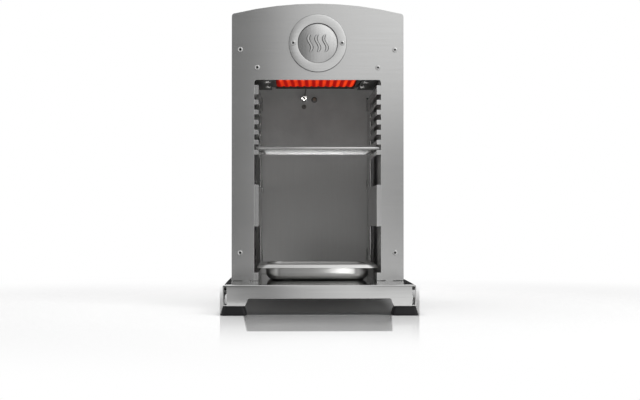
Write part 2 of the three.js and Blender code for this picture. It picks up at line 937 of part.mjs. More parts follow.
// Back wall: sheet with hook slots, sensor holes and returned side flanges
function backWallSolid() {
  const half = backWallWidth / 2;
  const from = cavityDepth - overrun;
  const to = backWallBack + overrun;
  const sheet = alongY(rectangle(-half, bodyFoot, half, backWallTop), cavityDepth, backWallBack);
  const returned = (side) => mirrored(
    alongX(
      rectangle(cavityDepth, bodyFoot, backWallBack + backWallReturn, backWallTop), half - caseSheet, half,
    ),
    side,
  );
  const slots = [
    ...hookSlots(rackInner, rackSheet), ...hookSlotFeet(), ...hookSlots(linerInner, caseSheet),
  ];
  return cut(
    join(sheet, returned(1), returned(-1)),
    ...slots.map((slot) => alongY(slot, from, to)),
    ...drill([[insulatorOffset, insulatorHeight]], insulatorRadius + seatGap, from, to),
    ...drill([[sensorOffset, sensorHeight]], sensorTipRadius + seatGap, from, to),
    ...drill([[insulatorOffset, electrodeScrewHeight]], holeRadius, from, to),
    ...drill([[0, tubeHeight]], tubeRadius + seatGap, from, to),
  );
}

function hookSlots(x, thickness) {
  const reach = hookHeight / 2 + hookPlay;
  const outer = x + thickness + hookSlotSide;
  return hookMiddles.flatMap((z) => mirroredSlot(x - hookSlotSide, outer, z - reach, z + reach));
}

// The middle rack slots turn outward at the foot, so that the racks hook in sideways
function hookSlotFeet() {
  const inner = rackInner - hookSlotSide;
  const outer = rackInner + rackSheet + hookSlotSide + hookFootReach;
  const low = hookMiddles[hookFootIndex] - hookHeight / 2 - hookPlay;
  return mirroredSlot(inner, outer, low, low + hookFootHeight);
}

const mirroredSlot = (inner, outer, low, high) => [
  rectangle(inner, low, outer, high), rectangle(-outer, low, -inner, high),
];

// Burner tile: a ribbed ceramic slab, its ribs standing in the frame's window
function tileSolid() {
  const half = tileWidth / 2;
  const slab = alongY(
    rectangle(-half, tileBottom, half, tileBottom + tileThickness), tileFront, tileBack,
  );
  const ribHalf = half - tileBearing - seatGap;
  const pitch = 2 * ribHalf / tileRibCount;
  const ribs = new THREE.Shape();
  ribs.moveTo(-ribHalf, tileBottom + tileRibDepth);
  ribs.lineTo(-ribHalf, tileBottom);
  for (let i = 0; i < tileRibCount; i += 1) {
    const x = pitch * i - ribHalf;
    ribs.quadraticCurveTo(x + pitch / 2, tileBottom - 2 * tileRibDepth, x + pitch, tileBottom);
  }
  ribs.lineTo(ribHalf, tileBottom + tileRibDepth);
  const inset = tileBearing + seatGap;
  return join(slab, alongY(ribs, tileFront + inset, tileBack - inset));
}

// Burner frame: a flat ring with a turned-down lip and four ears that lie on the rails
function frameSolid() {
  const windowHalf = tileWidth / 2 - tileBearing;
  const windowFront = tileFront + tileBearing;
  const windowBack = tileBack - tileBearing;
  const top = frameUnderside + frameSheet;
  const plate = alongZ(
    rectangle(-frameHalf, tileFront - frameSide, frameHalf, tileBack + frameSide, plenumCorner),
    frameUnderside,
    top,
  );
  const lip = alongZ(
    rectangle(
      -windowHalf - frameSheet, windowFront - frameSheet, windowHalf + frameSheet, windowBack + frameSheet,
    ),
    frameUnderside - frameLip,
    top,
  );
  const ears = boltDepths().flatMap((y) => [1, -1].map((side) => mirrored(
    alongZ(
      rectangle(
        frameHalf - overrun, y - earLength / 2, frameHalf + earReach, y + earLength / 2, baseBend,
      ),
      frameUnderside,
      top,
    ),
    side,
  )));
  const holes = boltDepths().flatMap((y) => [boltX, -boltX].map((x) => alongZ(
    hole(x, y, boltRadius + seatGap), frameUnderside - overrun, top + overrun, holeSteps,
  )));
  const window = alongZ(
    rectangle(-windowHalf, windowFront, windowHalf, windowBack),
    frameUnderside - frameLip - overrun,
    top + overrun,
  );
  return cut(join(plate, lip, ...ears), window, ...holes);
}

const boltDepths = () => [tileFront + earFrontMargin, tileBack - earRearMargin];

// Plenum: a drawn box, open over the tile, with a seat flange and the mixing tube's hole
function plenumSolid() {
  const top = tileBottom + plenumHeight;
  const box = (inset, from, to) => alongZ(
    rectangle(
      inset - plenumHalf, plenumFront + inset, plenumHalf - inset, plenumBack - inset, plenumCorner - inset,
    ),
    from,
    to,
  );
  const reach = plenumFlange;
  const flange = alongZ(
    rectangle(
      -plenumHalf - reach, plenumFront - reach, plenumHalf + reach, plenumBack + reach, plenumCorner,
    ),
    tileBottom,
    tileBottom + caseSheet,
  );
  const tile = alongZ(
    rectangle(
      caseSheet - plenumHalf, plenumFront + caseSheet, plenumHalf - caseSheet, plenumBack - caseSheet,
    ),
    tileBottom - overrun,
    tileBottom + tileThickness + seatGap,
  );
  const entry = drill([[0, tubeHeight]], tubeRadius + seatGap, tileBack - overrun, plenumBack + overrun);
  return cut(
    join(box(0, tileBottom, top), flange),
    box(caseSheet, tileBottom + tileThickness, top - caseSheet),
    tile,
    ...entry,
  );
}

// Burner rail: an angle from the front ear to the back wall that carries the frame's ears
function railSolid() {
  const from = frontLayer + rackSheet + seatGap;
  const to = cavityDepth - seatGap;
  const inner = railOuter - railShelf;
  const bottom = railTop - caseSheet;
  const shelf = alongZ(rectangle(inner, from, railOuter, to), bottom, railTop);
  const web = alongX(
    rectangle(from, bottom, to, bottom + railHeight), railOuter - caseSheet, railOuter,
  );
  const tab = (y) => alongY(
    rectangle(railOuter - railTabWidth, bottom, railOuter, bottom + railHeight), y, y + caseSheet,
  );
  const bolts = boltDepths().map((y) => alongZ(
    hole(boltX, y, boltRadius + seatGap), bottom - overrun, railTop + overrun, holeSteps,
  ));
  return cut(
    join(shelf, web, tab(from), tab(to - caseSheet)),
    ...bolts,
    ...drill([[burnerScrewOffset, burnerScrewHeight]], holeRadius, from - overrun, from + overrun),
  );
}

// Bolt with its nut, hanging through the rail and the frame's ear
function boltSolid() {
  const grip = caseSheet + seatGap + frameSheet + 2 * seatGap;
  const hex = (height, from) => turned([
    [0, from], [boltHeadRadius, from], [boltHeadRadius, from + height], [0, from + height],
  ], hexSides);
  const shank = turned([
    [0, 0],
    [boltRadius, 0],
    [boltRadius, boltHeadHeight + grip + nutHeight + boltRadius],
    [0, boltHeadHeight + grip + nutHeight + boltRadius],
  ], rodSides);
  return join(hex(boltHeadHeight, 0), shank, hex(nutHeight, boltHeadHeight + grip));
}

// Heat shield: a tray-shaped sheet that lies on the liners over the burner
function shieldSolid() {
  const half = shieldWidth / 2;
  const bottom = linerTop + seatGap;
  const from = frontLayer + caseSheet + shieldEndMargin;
  const to = cavityDepth - shieldEndMargin;
  const sheet = alongZ(rectangle(-half, from, half, to), bottom, bottom + caseSheet);
  const drop = (side) => mirrored(
    alongX(rectangle(from, bottom - shieldDrop, to, bottom + caseSheet), half - caseSheet, half),
    side,
  );
  return join(sheet, drop(1), drop(-1));
}

// Mixing tube: from the plenum through the back wall, then down to the mixer
function mixingTube() {
  return bentTube([
    [0, plenumBack - tubeEntry, tubeHeight],
    [0, trainDepth, tubeHeight],
    [0, trainDepth, tubeLowEnd],
  ], tubeBend, tubeRadius, tubeSteps, latheSides, tubeBore);
}

// Air mixer: a sleeve round the tube's end with air windows and a hole for the injector's tip
function mixerSolid() {
  const inner = tubeRadius + seatGap;
  const tipHole = injectorTipRadius + seatGap;
  const sleeve = turnedRing([
    [tipHole, 0],
    [mixerRadius, 0],
    [mixerRadius, mixerHeight],
    [inner, mixerHeight],
    [inner, mixerFloor],
    [tipHole, mixerFloor],
  ]);
  const span = mixerRadius + overrun;
  const window = rectangle(
    -mixerWindowWidth / 2, mixerWindowRise, mixerWindowWidth / 2, mixerWindowRise + mixerWindowHeight,
  );
  return cut(sleeve, alongY(window, -span, span), alongX(window, -span, span));
}

// Injector: hexagon on a threaded stub with the jet's tip above, standing on its origin
function injectorSolid() {
  const hexTop = injectorStubHeight + injectorHexHeight;
  const hex = turned([
    [0, injectorStubHeight],
    [injectorHexRadius, injectorStubHeight],
    [injectorHexRadius, hexTop],
    [0, hexTop],
  ], hexSides);
  const stem = turned([
    [0, 0],
    [injectorStubRadius, 0],
    [injectorStubRadius, injectorStubHeight],
    [injectorTipRadius, injectorStubHeight],
    [injectorTipRadius, hexTop + injectorTipHeight - mixerFloor],
    [injectorTipRadius / 2, hexTop + injectorTipHeight],
    [0, hexTop + injectorTipHeight],
  ], rodSides);
  return join(hex, stem);
}

// Injector bracket: an angle on the back wall
function bracketSolid() {
  const half = bracketWidth / 2;
  const wall = backWallBack + seatGap;
  const bottom = bracketTop - bracketSheet;
  const shelf = alongZ(
    rectangle(-half, wall, half, trainDepth + injectorHexRadius + bracketSheet), bottom, bracketTop,
  );
  const plate = alongY(rectangle(-half, bottom - bracketDrop, half, bracketTop), wall, wall + bracketSheet);
  const stubHole = alongZ(
    hole(0, trainDepth, injectorStubRadius + seatGap), bottom - overrun, bracketTop + overrun, holeSteps,
  );
  return cut(join(shelf, plate), stubHole);
}

// Gas valve: a cast block with a boss for the spindle, about its own centre
function valveSolid() {
  const block = alongY(
    rectangle(-valveWidth / 2, -valveRise / 2, valveWidth / 2, valveRise / 2, valveCorner),
    -valveDepth / 2,
    valveDepth / 2,
  );
  const boss = alongY(
    disc(0, 0, valveBossRadius), valveDepth / 2 - seatGap, valveDepth / 2 + valveBossLength, holeSteps,
  );
  const bore = alongY(
    hole(0, 0, spindleRadius + seatGap), -valveDepth / 4, valveDepth / 2 + 2 * valveBossLength, holeSteps,
  );
  return cut(join(block, boss), bore);
}

// Knob: tapered with a grip of round flutes, a skirt and a pointer groove, its seat at the origin
function knobSolid() {
  const top = knobDepth;
  const shoulder = knobRadius * knobTaperShare;
  const body = turned([
    [spindleRadius + seatGap, 0],
    [knobRadius, 0],
    [knobRadius, knobSkirtHeight],
    [shoulder, knobSkirtHeight + knobGripRadius],
    [shoulder * knobTaperShare, top - knobGripRadius],
    [shoulder * knobTaperShare - knobGripRadius, top],
    [0, top],
    [0, top - knobCap],
    [spindleRadius + seatGap, top - knobCap],
    [spindleRadius + seatGap, 0],
  ], knobSides);
  const flutes = Array.from({ length: knobGripCount }, (_, i) => {
    const angle = 2 * Math.PI * (i + knobTaperShare / 2) / knobGripCount;
    const [x, y] = [Math.cos(angle) * shoulder, Math.sin(angle) * shoulder];
    const low = [x, y, knobSkirtHeight + knobGripRadius];
    const high = [x * knobTaperShare, y * knobTaperShare, top + overrun];
    return rod(low, high, knobGripRadius, hexSides);
  });
  const mark = alongZ(
    rectangle(-knobMarkWidth / 2, shoulder / 3, knobMarkWidth / 2, knobRadius + overrun),
    top - knobMarkDepth,
    top + overrun,
  );
  return backward(cut(body, ...flutes, mark));
}

// Spindle: from inside the valve's boss to inside the knob
function spindleSolid() {
  return backward(turned([
    [0, 0],
    [spindleRadius, 0],
    [spindleRadius, spindleBack - spindleFront],
    [0, spindleBack - spindleFront],
  ]));
}

// Inlet: an elbow block inside, a sleeve through the cover, a nut and a threaded stub outside
function inletSolid() {
  const blockBack = trainDepth + inletBlock / 2;
  const block = alongY(
    rectangle(-inletBlock / 2, -inletBlock / 2, inletBlock / 2, inletBlock / 2, valveCorner),
    trainDepth - inletBlock / 2,
    blockBack,
  );
  const nutFront = bodyDepth + seatGap;
  const nutBack = nutFront + inletNutLength;
  const tip = nutBack + inletStubLength;
  const sleeve = backward(turned([
    [0, blockBack - seatGap],
    [inletSleeveRadius, blockBack - seatGap],
    [inletSleeveRadius, nutFront + seatGap],
    [0, nutFront + seatGap],
  ]));
  const nut = backward(turned([
    [0, nutFront], [inletNutRadius, nutFront], [inletNutRadius, nutBack], [0, nutBack],
  ], hexSides));
  const stub = backward(turned([
    [0, nutBack - seatGap],
    [inletStubRadius, nutBack - seatGap],
    [inletStubRadius, tip - inletStubRadius / 4],
    [inletStubRadius * inletTipShare, tip],
    [0, tip],
  ]));
  const bore = alongY(disc(0, 0, inletBoreRadius), nutBack, tip + overrun, holeSteps);
  return cut(join(block, sleeve, nut, stub), bore);
}

const supplyPipe = () => rod(
  [valveOffset, trainDepth, inletHeight + inletBlock / 2 + seatGap],
  [valveOffset, trainDepth, valveHeight - valveRise / 2 - seatGap],
  pipeRadius,
);

const burnerPipe = () => bentTube([
  [0, trainDepth, injectorFoot - seatGap],
  [0, trainDepth, valveHeight],
  [valveOffset - valveWidth / 2 - seatGap, trainDepth, valveHeight],
], pipeBend, pipeRadius, tubeSteps);

// Igniter: a cylinder through the cover, clamped between its bezel and its nut, bored for the button
function igniterSolid() {
  const tip = bodyDepth + seatGap + igniterBezelThickness;
  const body = turned([
    [0, tip - igniterLength - igniterBezelThickness],
    [igniterRadius, tip - igniterLength - igniterBezelThickness],
    [igniterRadius, coverFront - seatGap - igniterNutLength],
    [igniterBezelRadius, coverFront - seatGap - igniterNutLength],
    [igniterBezelRadius, coverFront - seatGap],
    [igniterRadius, coverFront - seatGap],
    [igniterRadius, bodyDepth + seatGap],
    [igniterBezelRadius, bodyDepth + seatGap],
    [igniterBezelRadius, tip - buttonEdge],
    [igniterBezelRadius - buttonEdge, tip],
    [igniterBore, tip],
    [igniterBore, tip - igniterBoreDepth],
    [0, tip - igniterBoreDepth],
  ]);
  return backward(body);
}

function buttonSolid() {
  return backward(turned([
    [0, 0],
    [buttonRadius, 0],
    [buttonRadius, buttonLength - buttonEdge],
    [buttonRadius - buttonEdge, buttonLength],
    [0, buttonLength],
  ]));
}

// Spark insulator: a ceramic tube through the back wall with a collar on its front face
function insulatorSolid() {
  const collarBack = cavityDepth - seatGap;
  return backward(turned([
    [0, cavityDepth - insulatorFront],
    [insulatorRadius, cavityDepth - insulatorFront],
    [insulatorRadius, collarBack - insulatorCollarLength],
    [insulatorCollarRadius, collarBack - insulatorCollarLength],
    [insulatorCollarRadius, collarBack],
    [insulatorRadius, collarBack],
    [insulatorRadius, backWallBack + insulatorRear],
    [0, backWallBack + insulatorRear],
  ], rodSides));
}

// Spark wire: out of the insulator, then up and forward to the tile's rear end
function sparkWire() {
  const start = cavityDepth - insulatorFront - seatGap;
  const turn = start - leadBend - wireRadius;
  return bentTube([
    [insulatorOffset, start, insulatorHeight],
    [insulatorOffset, turn, insulatorHeight],
    [insulatorOffset + wireLean, start - wireReach, tileBottom - tileRibDepth - wireTipGap],
  ], leadBend / 2, wireRadius, wireSteps, wireSides);
}

function sensorCollar() {
  const back = cavityDepth - seatGap;
  return backward(turnedRing([
    [sensorTipRadius + seatGap, back - sensorCollarLength],
    [sensorCollarRadius, back - sensorCollarLength],
    [sensorCollarRadius, back],
    [sensorTipRadius + seatGap, back],
  ]));
}

function sensorTip() {
  const rear = backWallBack + sensorRear;
  const front = cavityDepth - sensorTipLength;
  return backward(turned([
    [0, front],
    [sensorTipRadius / 2, front],
    [sensorTipRadius, front + sensorTipRadius / 2],
    [sensorTipRadius, rear],
    [0, rear],
  ], rodSides));
}

const sensorLead = () => {
  const start = backWallBack + sensorRear + seatGap;
  const lane = start + leadBend + leadRadius;
  const valveX = valveOffset + valveWidth / 4;
  const valveY = trainDepth - valveDepth / 4;
  return bentTube([
    [sensorOffset, start, sensorHeight],
    [sensorOffset, lane, sensorHeight],
    [valveOffset / 2, lane, sensorHeight],
    [valveX, valveY, sensorHeight],
    [valveX, valveY, valveHeight + valveRise / 2 + seatGap],
  ], leadBend, leadRadius, leadSteps, leadSides);
};

const sparkLead = () => {
  const y = trainDepth - tubeRadius / 2;
  return bentTube([
    [igniterOffset, y, igniterHeight + igniterRadius + seatGap],
    [igniterOffset, y, insulatorHeight],
    [insulatorOffset, y, insulatorHeight],
    [insulatorOffset, backWallBack + insulatorRear + seatGap, insulatorHeight],
  ], leadBend, leadRadius, leadSteps, leadSides);
};

// Grate: two end rods that run in the slots, two side rods and the cross bars between them
function grateSolid() {
  const z = slotBottom(grateSlotIndex) + seatGap + grateRodRadius;
  const half = grateWidth / 2;
  const inner = grateInnerWidth / 2;
  const back = grateFront + grateLength;
  const ends = [grateFront, back].map((y) => rod([-half, y, z], [half, y, z], grateRodRadius));
  const sides = [-inner, inner].map((x) => rod([x, grateFront, z], [x, back, z], grateRodRadius));
  const pitch = grateLength / (grateBarCount + 1);
  const bars = spread(grateBarCount, pitch, (offset) => {
    const y = grateFront + grateLength / 2 + offset;
    return rod([-inner, y, z], [inner, y, z], grateBarRadius, barSides);
  });
  return join(...ends, ...sides, ...bars);
}

// Pan: a drawn tray with a flared skirt round its rim, from its outside skin over the rim to its inside
function panSolid() {
  const ring = (inset, height, radius) => (
    roundedRing(panWidth / 2 - inset, panLength / 2 - inset, radius, height)
  );
  const crest = panRimFlare;
  const rim = panRimFlare + panRimFlange;
  const wall = rim - panSheet;
  const bowl = (inset, radius, curve, floor) => (share) => {
    const angle = share * Math.PI / 2;
    const rise = curve * (1 - Math.cos(angle));
    const draw = curve * (1 - Math.sin(angle));
    return ring(inset + draw, floor + rise, radius - draw);
  };
  const shares = [0, 1 / 3, 2 / 3, 1];
  const innerCurve = panBottomCurve - panSheet;
  const rimUnder = panHeight - panSheet;
  return loft([
    ...shares.map(bowl(wall, panBodyCorner, panBottomCurve, 0)),
    ring(wall, rimUnder, panBodyCorner),
    ring(crest + panSheet / 2, rimUnder, panRimCorner - crest),
    ring(panSheet, panHeight - panRimDrop, panRimCorner - panSheet),
    ring(0, panHeight - panRimDrop, panRimCorner),
    ring(crest - panRimEdge, panHeight - panRimEdge, panRimCorner - crest),
    ring(crest + panRimEdge, panHeight, panRimCorner - crest),
    ring(rim - panRimEdge, panHeight, panBodyCorner),
    ring(rim, panHeight - panRimEdge, panBodyCorner - panSheet),
    ...shares.toReversed().map(bowl(rim, panBodyCorner - panSheet, innerCurve, panSheet)),
  ]);
}

// Placing: base and feet
function addBase() {
  const base = new THREE.Group();
  place(base, 'base_tray', baseSolid(), brushedSteel);
  for (const [side, x] of [['left', -footCentreX], ['right', footCentreX]]) {
    place(base, `foot_front_${side}`, footSolid(), blackRubber, x, footFrontY);
    place(base, `foot_rear_${side}`, footSolid(), blackRubber, x, footRearY);
  }
  grill.add(base);
}

// Placing: panel, badge, casing and their screws
function addCasing() {
  const casing = new THREE.Group();
  place(casing, 'front_panel', panelSolid(), brushedSteel);
  place(casing, 'outer_casing', casingSolid(), brushedSteel);
  place(casing, 'rear_cover', coverSolid(), brushedSteel);
  place(casing, 'badge_ring', badgeRing(), brushedSteel, 0, -seatGap, badgeHeight);
  const ground = alongY(disc(0, 0, badgeGroundRadius), -badgeGroundThickness, 0, latheSides);
  place(casing, 'badge_ground', ground, brushedSteel, 0, -seatGap, badgeHeight);
  const front = [
    ['panel_screw_low', casingScrewOffset, -seatGap, casingScrewLow],
    ['panel_screw_high', casingScrewOffset, -seatGap, casingScrewHigh],
    ['burner_screw', burnerScrewOffset, -seatGap, burnerScrewHeight],
    ['badge_screw', badgeScrewOffset, -2 * seatGap - badgeThickness, badgeHeight],
  ];
  for (const [name, x, y, z] of front) {
    place(casing, `${name}_left`, screwSolid(panelScrewLength), fastenerSteel, -x, y, z);
    place(casing, `${name}_right`, screwSolid(panelScrewLength), fastenerSteel, x, y, z);
  }
  const names = ['low_left', 'low_right', 'high_left', 'high_right'];
  coverScrewPlaces().forEach(([x, z], i) => {
    const screw = screwSolid(panelScrewLength).rotate([0, 0, 180]);
    place(casing, `cover_screw_${names[i]}`, screw, fastenerSteel, x, bodyDepth + seatGap, z);
  });
  grill.add(casing);
}

// Placing: the cavity's walls and racks
function addCavity() {
  const cavity = new THREE.Group();
  for (const [side, sign] of [['left', -1], ['right', 1]]) {
    place(cavity, `rack_plate_${side}`, mirrored(rackSolid(), sign), brushedSteel);
    place(cavity, `cavity_liner_${side}`, mirrored(linerSolid(), sign), darkSteel);
  }
  place(cavity, 'cavity_back_wall', backWallSolid(), darkSteel);
  const screw = screwSolid(panelScrewLength);
  place(
    cavity, 'electrode_screw', screw, fastenerSteel,
    insulatorOffset, cavityDepth - seatGap, electrodeScrewHeight,
  );
  place(cavity, 'heat_shield', shieldSolid(), darkSteel);
  place(cavity, 'grate', grateSolid(), polishedSteel);
  place(cavity, 'pan', panSolid(), polishedSteel, 0, panFront + panLength / 2, bodyFoot);
  grill.add(cavity);
}

// Placing: the burner on its rails
function addBurner() {
  const burner = new THREE.Group();
  place(burner, 'burner_tile', tileSolid(), glowingCeramic);
  place(burner, 'burner_frame', frameSolid(), darkSteel);
  place(burner, 'burner_plenum', plenumSolid(), darkSteel);
  for (const [side, sign] of [['left', -1], ['right', 1]]) {
    place(burner, `burner_rail_${side}`, mirrored(railSolid(), sign), darkSteel);
    const z = railTop - caseSheet - seatGap - boltHeadHeight;
    boltDepths().forEach((y, i) => {
      const end = ['front', 'rear'][i];
      place(burner, `burner_bolt_${end}_${side}`, boltSolid(), fastenerSteel, sign * boltX, y, z);
    });
  }
  grill.add(burner);
}

// Placing: gas, ignition and flame sensing at the back
function addControls() {
  const gas = new THREE.Group();
  place(gas, 'mixing_tube', mixingTube(), brushedSteel);
  place(gas, 'air_mixer', mixerSolid(), brushedSteel, 0, trainDepth, mixerBottom);
  place(gas, 'injector', injectorSolid(), brass, 0, trainDepth, injectorFoot);
  place(gas, 'injector_bracket', bracketSolid(), darkSteel);
  place(gas, 'gas_valve', valveSolid(), brass, valveOffset, trainDepth, valveHeight);
  place(gas, 'supply_pipe', supplyPipe(), copper);
  place(gas, 'burner_pipe', burnerPipe(), copper);
  place(gas, 'gas_inlet', inletSolid(), brass, valveOffset, 0, inletHeight);
  place(gas, 'valve_spindle', spindleSolid(), fastenerSteel, valveOffset, spindleFront, valveHeight);
  place(gas, 'control_knob', knobSolid(), blackPlastic, valveOffset, knobFront, valveHeight);
  place(gas, 'igniter_body', igniterSolid(), blackPlastic, igniterOffset, 0, igniterHeight);
  const buttonFront = bodyDepth + seatGap + igniterBezelThickness + buttonProud - buttonLength;
  place(gas, 'igniter_button', buttonSolid(), blackPlastic, igniterOffset, buttonFront, igniterHeight);
  place(gas, 'spark_insulator', insulatorSolid(), ceramic, insulatorOffset, 0, insulatorHeight);
  place(gas, 'spark_wire', sparkWire(), fastenerSteel);
  place(gas, 'spark_lead', sparkLead(), blackRubber);
  place(gas, 'sensor_collar', sensorCollar(), fastenerSteel, sensorOffset, 0, sensorHeight);
  place(gas, 'sensor_tip', sensorTip(), copper, sensorOffset, 0, sensorHeight);
  place(gas, 'sensor_lead', sensorLead(), copper);
  grill.add(gas);
}

addBase();
addCasing();
addCavity();
addBurner();
addControls();
grill.position.y = -(frontmost + rearmost) / 2;

export default grill;
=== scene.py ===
import bpy
import bmesh
import json
import math
from mathutils import Matrix, Vector


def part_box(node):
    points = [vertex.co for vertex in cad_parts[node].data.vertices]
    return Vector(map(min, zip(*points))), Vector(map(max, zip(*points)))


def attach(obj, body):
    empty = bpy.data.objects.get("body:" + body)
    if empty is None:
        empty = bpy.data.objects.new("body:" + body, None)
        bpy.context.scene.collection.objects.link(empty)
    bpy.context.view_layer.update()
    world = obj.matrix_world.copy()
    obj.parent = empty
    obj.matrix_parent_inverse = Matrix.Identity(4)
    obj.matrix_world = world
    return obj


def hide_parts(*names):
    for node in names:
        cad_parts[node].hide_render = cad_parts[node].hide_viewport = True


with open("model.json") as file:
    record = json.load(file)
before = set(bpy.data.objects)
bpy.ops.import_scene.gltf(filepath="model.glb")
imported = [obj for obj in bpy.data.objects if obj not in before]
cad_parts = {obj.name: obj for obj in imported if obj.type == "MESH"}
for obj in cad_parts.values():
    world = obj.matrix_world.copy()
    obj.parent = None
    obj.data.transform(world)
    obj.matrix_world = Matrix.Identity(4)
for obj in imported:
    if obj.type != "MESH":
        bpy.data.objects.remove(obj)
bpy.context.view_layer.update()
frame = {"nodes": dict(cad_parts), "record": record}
nodes = frame["nodes"]
slotOf = {row["node"]: row["material_slot"] for row in frame["record"]["subparts"]}
bodyOf = {node: body for body, members in frame["record"]["behaviour"]["bodies"].items() for node in members}
mm = 0.001
sharpFrom = 35       # edges between faces at this many degrees stay sharp
mergeWithin = 1e-6
hexSides = 6
scene = bpy.context.scene


def pick(look, *keys):
    return [look[key] for key in keys]


# camera and studio

cameraView = {
    "panelFace": -108.15 * mm,   # depth of the front panel's face
    "distance": 2150 * mm,       # from there to the camera
    "sideways": -39.75 * mm,
    "height": 128.8 * mm,
    "lens": 84.28,
    "sensor": 36,
    "turn": 1.147,               # degrees to the right
    "tilt": 0.765,               # degrees upward
}


def addCamera(view):
    lens = bpy.data.cameras.new("photoCamera")
    lens.lens = view["lens"]
    lens.sensor_width = view["sensor"]
    camera = bpy.data.objects.new("photoCamera", lens)
    camera.location = (view["sideways"], view["panelFace"] - view["distance"], view["height"])
    camera.rotation_euler = (math.radians(90 + view["tilt"]), 0, math.radians(-view["turn"]))
    scene.collection.objects.link(camera)
    scene.camera = camera


studio = {
    "floorHalf": 9,
    "floorColor": (0.76, 0.76, 0.76),
    "floorCloud": 3,             # scale of the clouds that its roughness varies in
    "floorRoughness": (0.04, 0.06),
    "whiteFade": (0.35, 1.1, 0.0, 1.0),    # distances from the middle over which the floor turns plain white
    "mirrorFade": (0.20, 0.85, 0.42, 0.0),  # and over which its mirror image fades
    "underX": (-0.150, -0.120, 0.120, 0.150),  # the floor under the base is painted darker between these, a painted shadow
    "underY": (-0.246, -0.225, -0.20, -0.08),
    "underShade": 0.56,
    # the hand grip's image in the floor: over Y its half width and its shift, then where it starts and ends
    "gripLean": (-0.52, -0.24, 0.0841, 0.0997),
    "gripShift": (-0.52, -0.24, 0.0052, 0.0025),
    "gripX": (-1.03, -0.99, 0.99, 1.03),   # in half widths
    "gripY": (-0.528, -0.518, -0.24, -0.235),
    "gripMirror": [(-0.528, 0.77), (-0.504, 0.765), (-0.438, 0.735), (-0.366, 0.76), (-0.289, 0.80),
                   (-0.235, 0.84)],
    "whiteLevel": 1.0,           # what the camera, metal and glass see
    "ambientLevel": 0.55,        # what lights the matt surfaces
    "lamps": [
        # name, place, aims at, width, height, watts, spread in degrees, seen in metal
        ("keyLamp", (0.9, -1.3, 1.2), (0.02, -0.1, 0.2), 0.9, 0.7, 16, 180, True),
        ("topLamp", (-0.15, 0.0, 1.4), (0, 0, 0.1), 1.1, 0.9, 10, 180, False),
        ("rearLamp", (-0.6, 1.5, 0.9), (0, 0.2, 0.2), 0.9, 0.7, 8, 180, True),
        ("insideLamp", (0.0, 0.14, 0.070), (0, 0.02, 0.232), 0.165, 0.03, 0.016, 60, True),
        ("leftChannelLamp", (-0.0915, -0.095, 0.19), (-0.0915, 0.1, 0.19), 0.006, 0.24, 0.0045, 70, True),
        ("rightChannelLamp", (0.0915, -0.095, 0.19), (0.0915, 0.1, 0.19), 0.006, 0.24, 0.0045, 70, True),
        ("panLamp", (0.045, -0.205, 0.053), (0.042, -0.08, 0.048), 0.024, 0.008, 0.0010, 50, True),
        ("frontFill", (0.0, -1.3, 0.33), (0, 0.1, 0.33), 0.25, 0.25, 1.8, 30, False),
    ],
    "cardPlace": -0.56,          # the gradient card stands this far forward, seen only by glossy rays
    "cardHalf": 0.62,
    "cardHeight": 1.1,
    # its levels over X, then how much of them is lost over Z towards the right
    "cardAcross": [(-0.45, 1.0), (-0.24, 0.235), (-0.125, 0.205), (-0.10, 0.235), (-0.088, 0.29),
                   (-0.057, 0.49), (-0.022, 0.71), (0.03, 0.80), (0.064, 0.84), (0.10, 0.88), (0.30, 0.88),
                   (0.45, 1.0)],
    "cardSide": [(0.06, 0.0), (0.10, 1.0)],
    "cardDip": [(0.0, 0.02), (0.012, 0.10), (0.038, 0.44), (0.056, 0.39), (0.094, 0.385), (0.146, 0.50),
                (0.198, 0.52), (0.25, 0.47), (0.302, 0.32), (0.354, 0.12), (0.40, 0.03), (0.45, 0.0)],
    "cardLift": (0.53, 0.70, 1.0, 1.7),    # it shines more above the part that the front panel shows
    # its foot, which only the base's lip shows, has levels of its own and ends between these heights
    "footAcross": [(-0.45, 1.0), (-0.20, 0.62), (-0.133, 0.49), (-0.117, 0.42), (-0.085, 0.375),
                   (-0.066, 0.40), (-0.024, 0.595), (0.023, 0.75), (0.07, 0.87), (0.116, 1.0), (0.45, 1.0)],
    "footTop": (0.020, 0.0275, 1.0, 0.0),
    "flag": (-0.215, 0.285, 1.5, 0.40),    # dark strip far behind for glossy rays: from x, to x, y, height
    "flagRise": [(0.0, 0.02), (0.25, 0.04), (0.40, 0.9)],
}


def feed(tree, value, socket):
    # a socket takes another node's output or a plain value
    if isinstance(value, bpy.types.NodeSocket):
        tree.links.new(value, socket)
    else:
        socket.default_value = value


def addNode(tree, kind, inputs=None, **settings):
    node = tree.nodes.new(kind)
    for key, value in settings.items():
        setattr(node, key, value)
    for label, value in (inputs or {}).items():
        feed(tree, value, node.inputs[label])
    return node


def maths(tree, operation, first, second=0.0):
    return addNode(tree, "ShaderNodeMath", {0: first, 1: second}, operation=operation).outputs[0]


def product(tree, first, second):
    return maths(tree, "MULTIPLY", first, second)


def awayFrom(tree, value, middle):
    return maths(tree, "ABSOLUTE", maths(tree, "SUBTRACT", value, middle))


def ranged(tree, value, low, high, outLow=0.0, outHigh=1.0, **settings):
    inputs = {"Value": value, "From Min": low, "From Max": high, "To Min": outLow, "To Max": outHigh}
    return addNode(tree, "ShaderNodeMapRange", inputs, **settings).outputs[0]


def noise(tree, vector, scale, detail=2.0, roughness=0.5):
    inputs = {"Vector": vector, "Scale": scale, "Detail": detail, "Roughness": roughness}
    return addNode(tree, "ShaderNodeTexNoise", inputs).outputs["Fac"]


def axesOf(tree, vector):
    return addNode(tree, "ShaderNodeSeparateXYZ", {0: vector}).outputs


def objectPlace(tree):
    return addNode(tree, "ShaderNodeTexCoord").outputs["Object"]


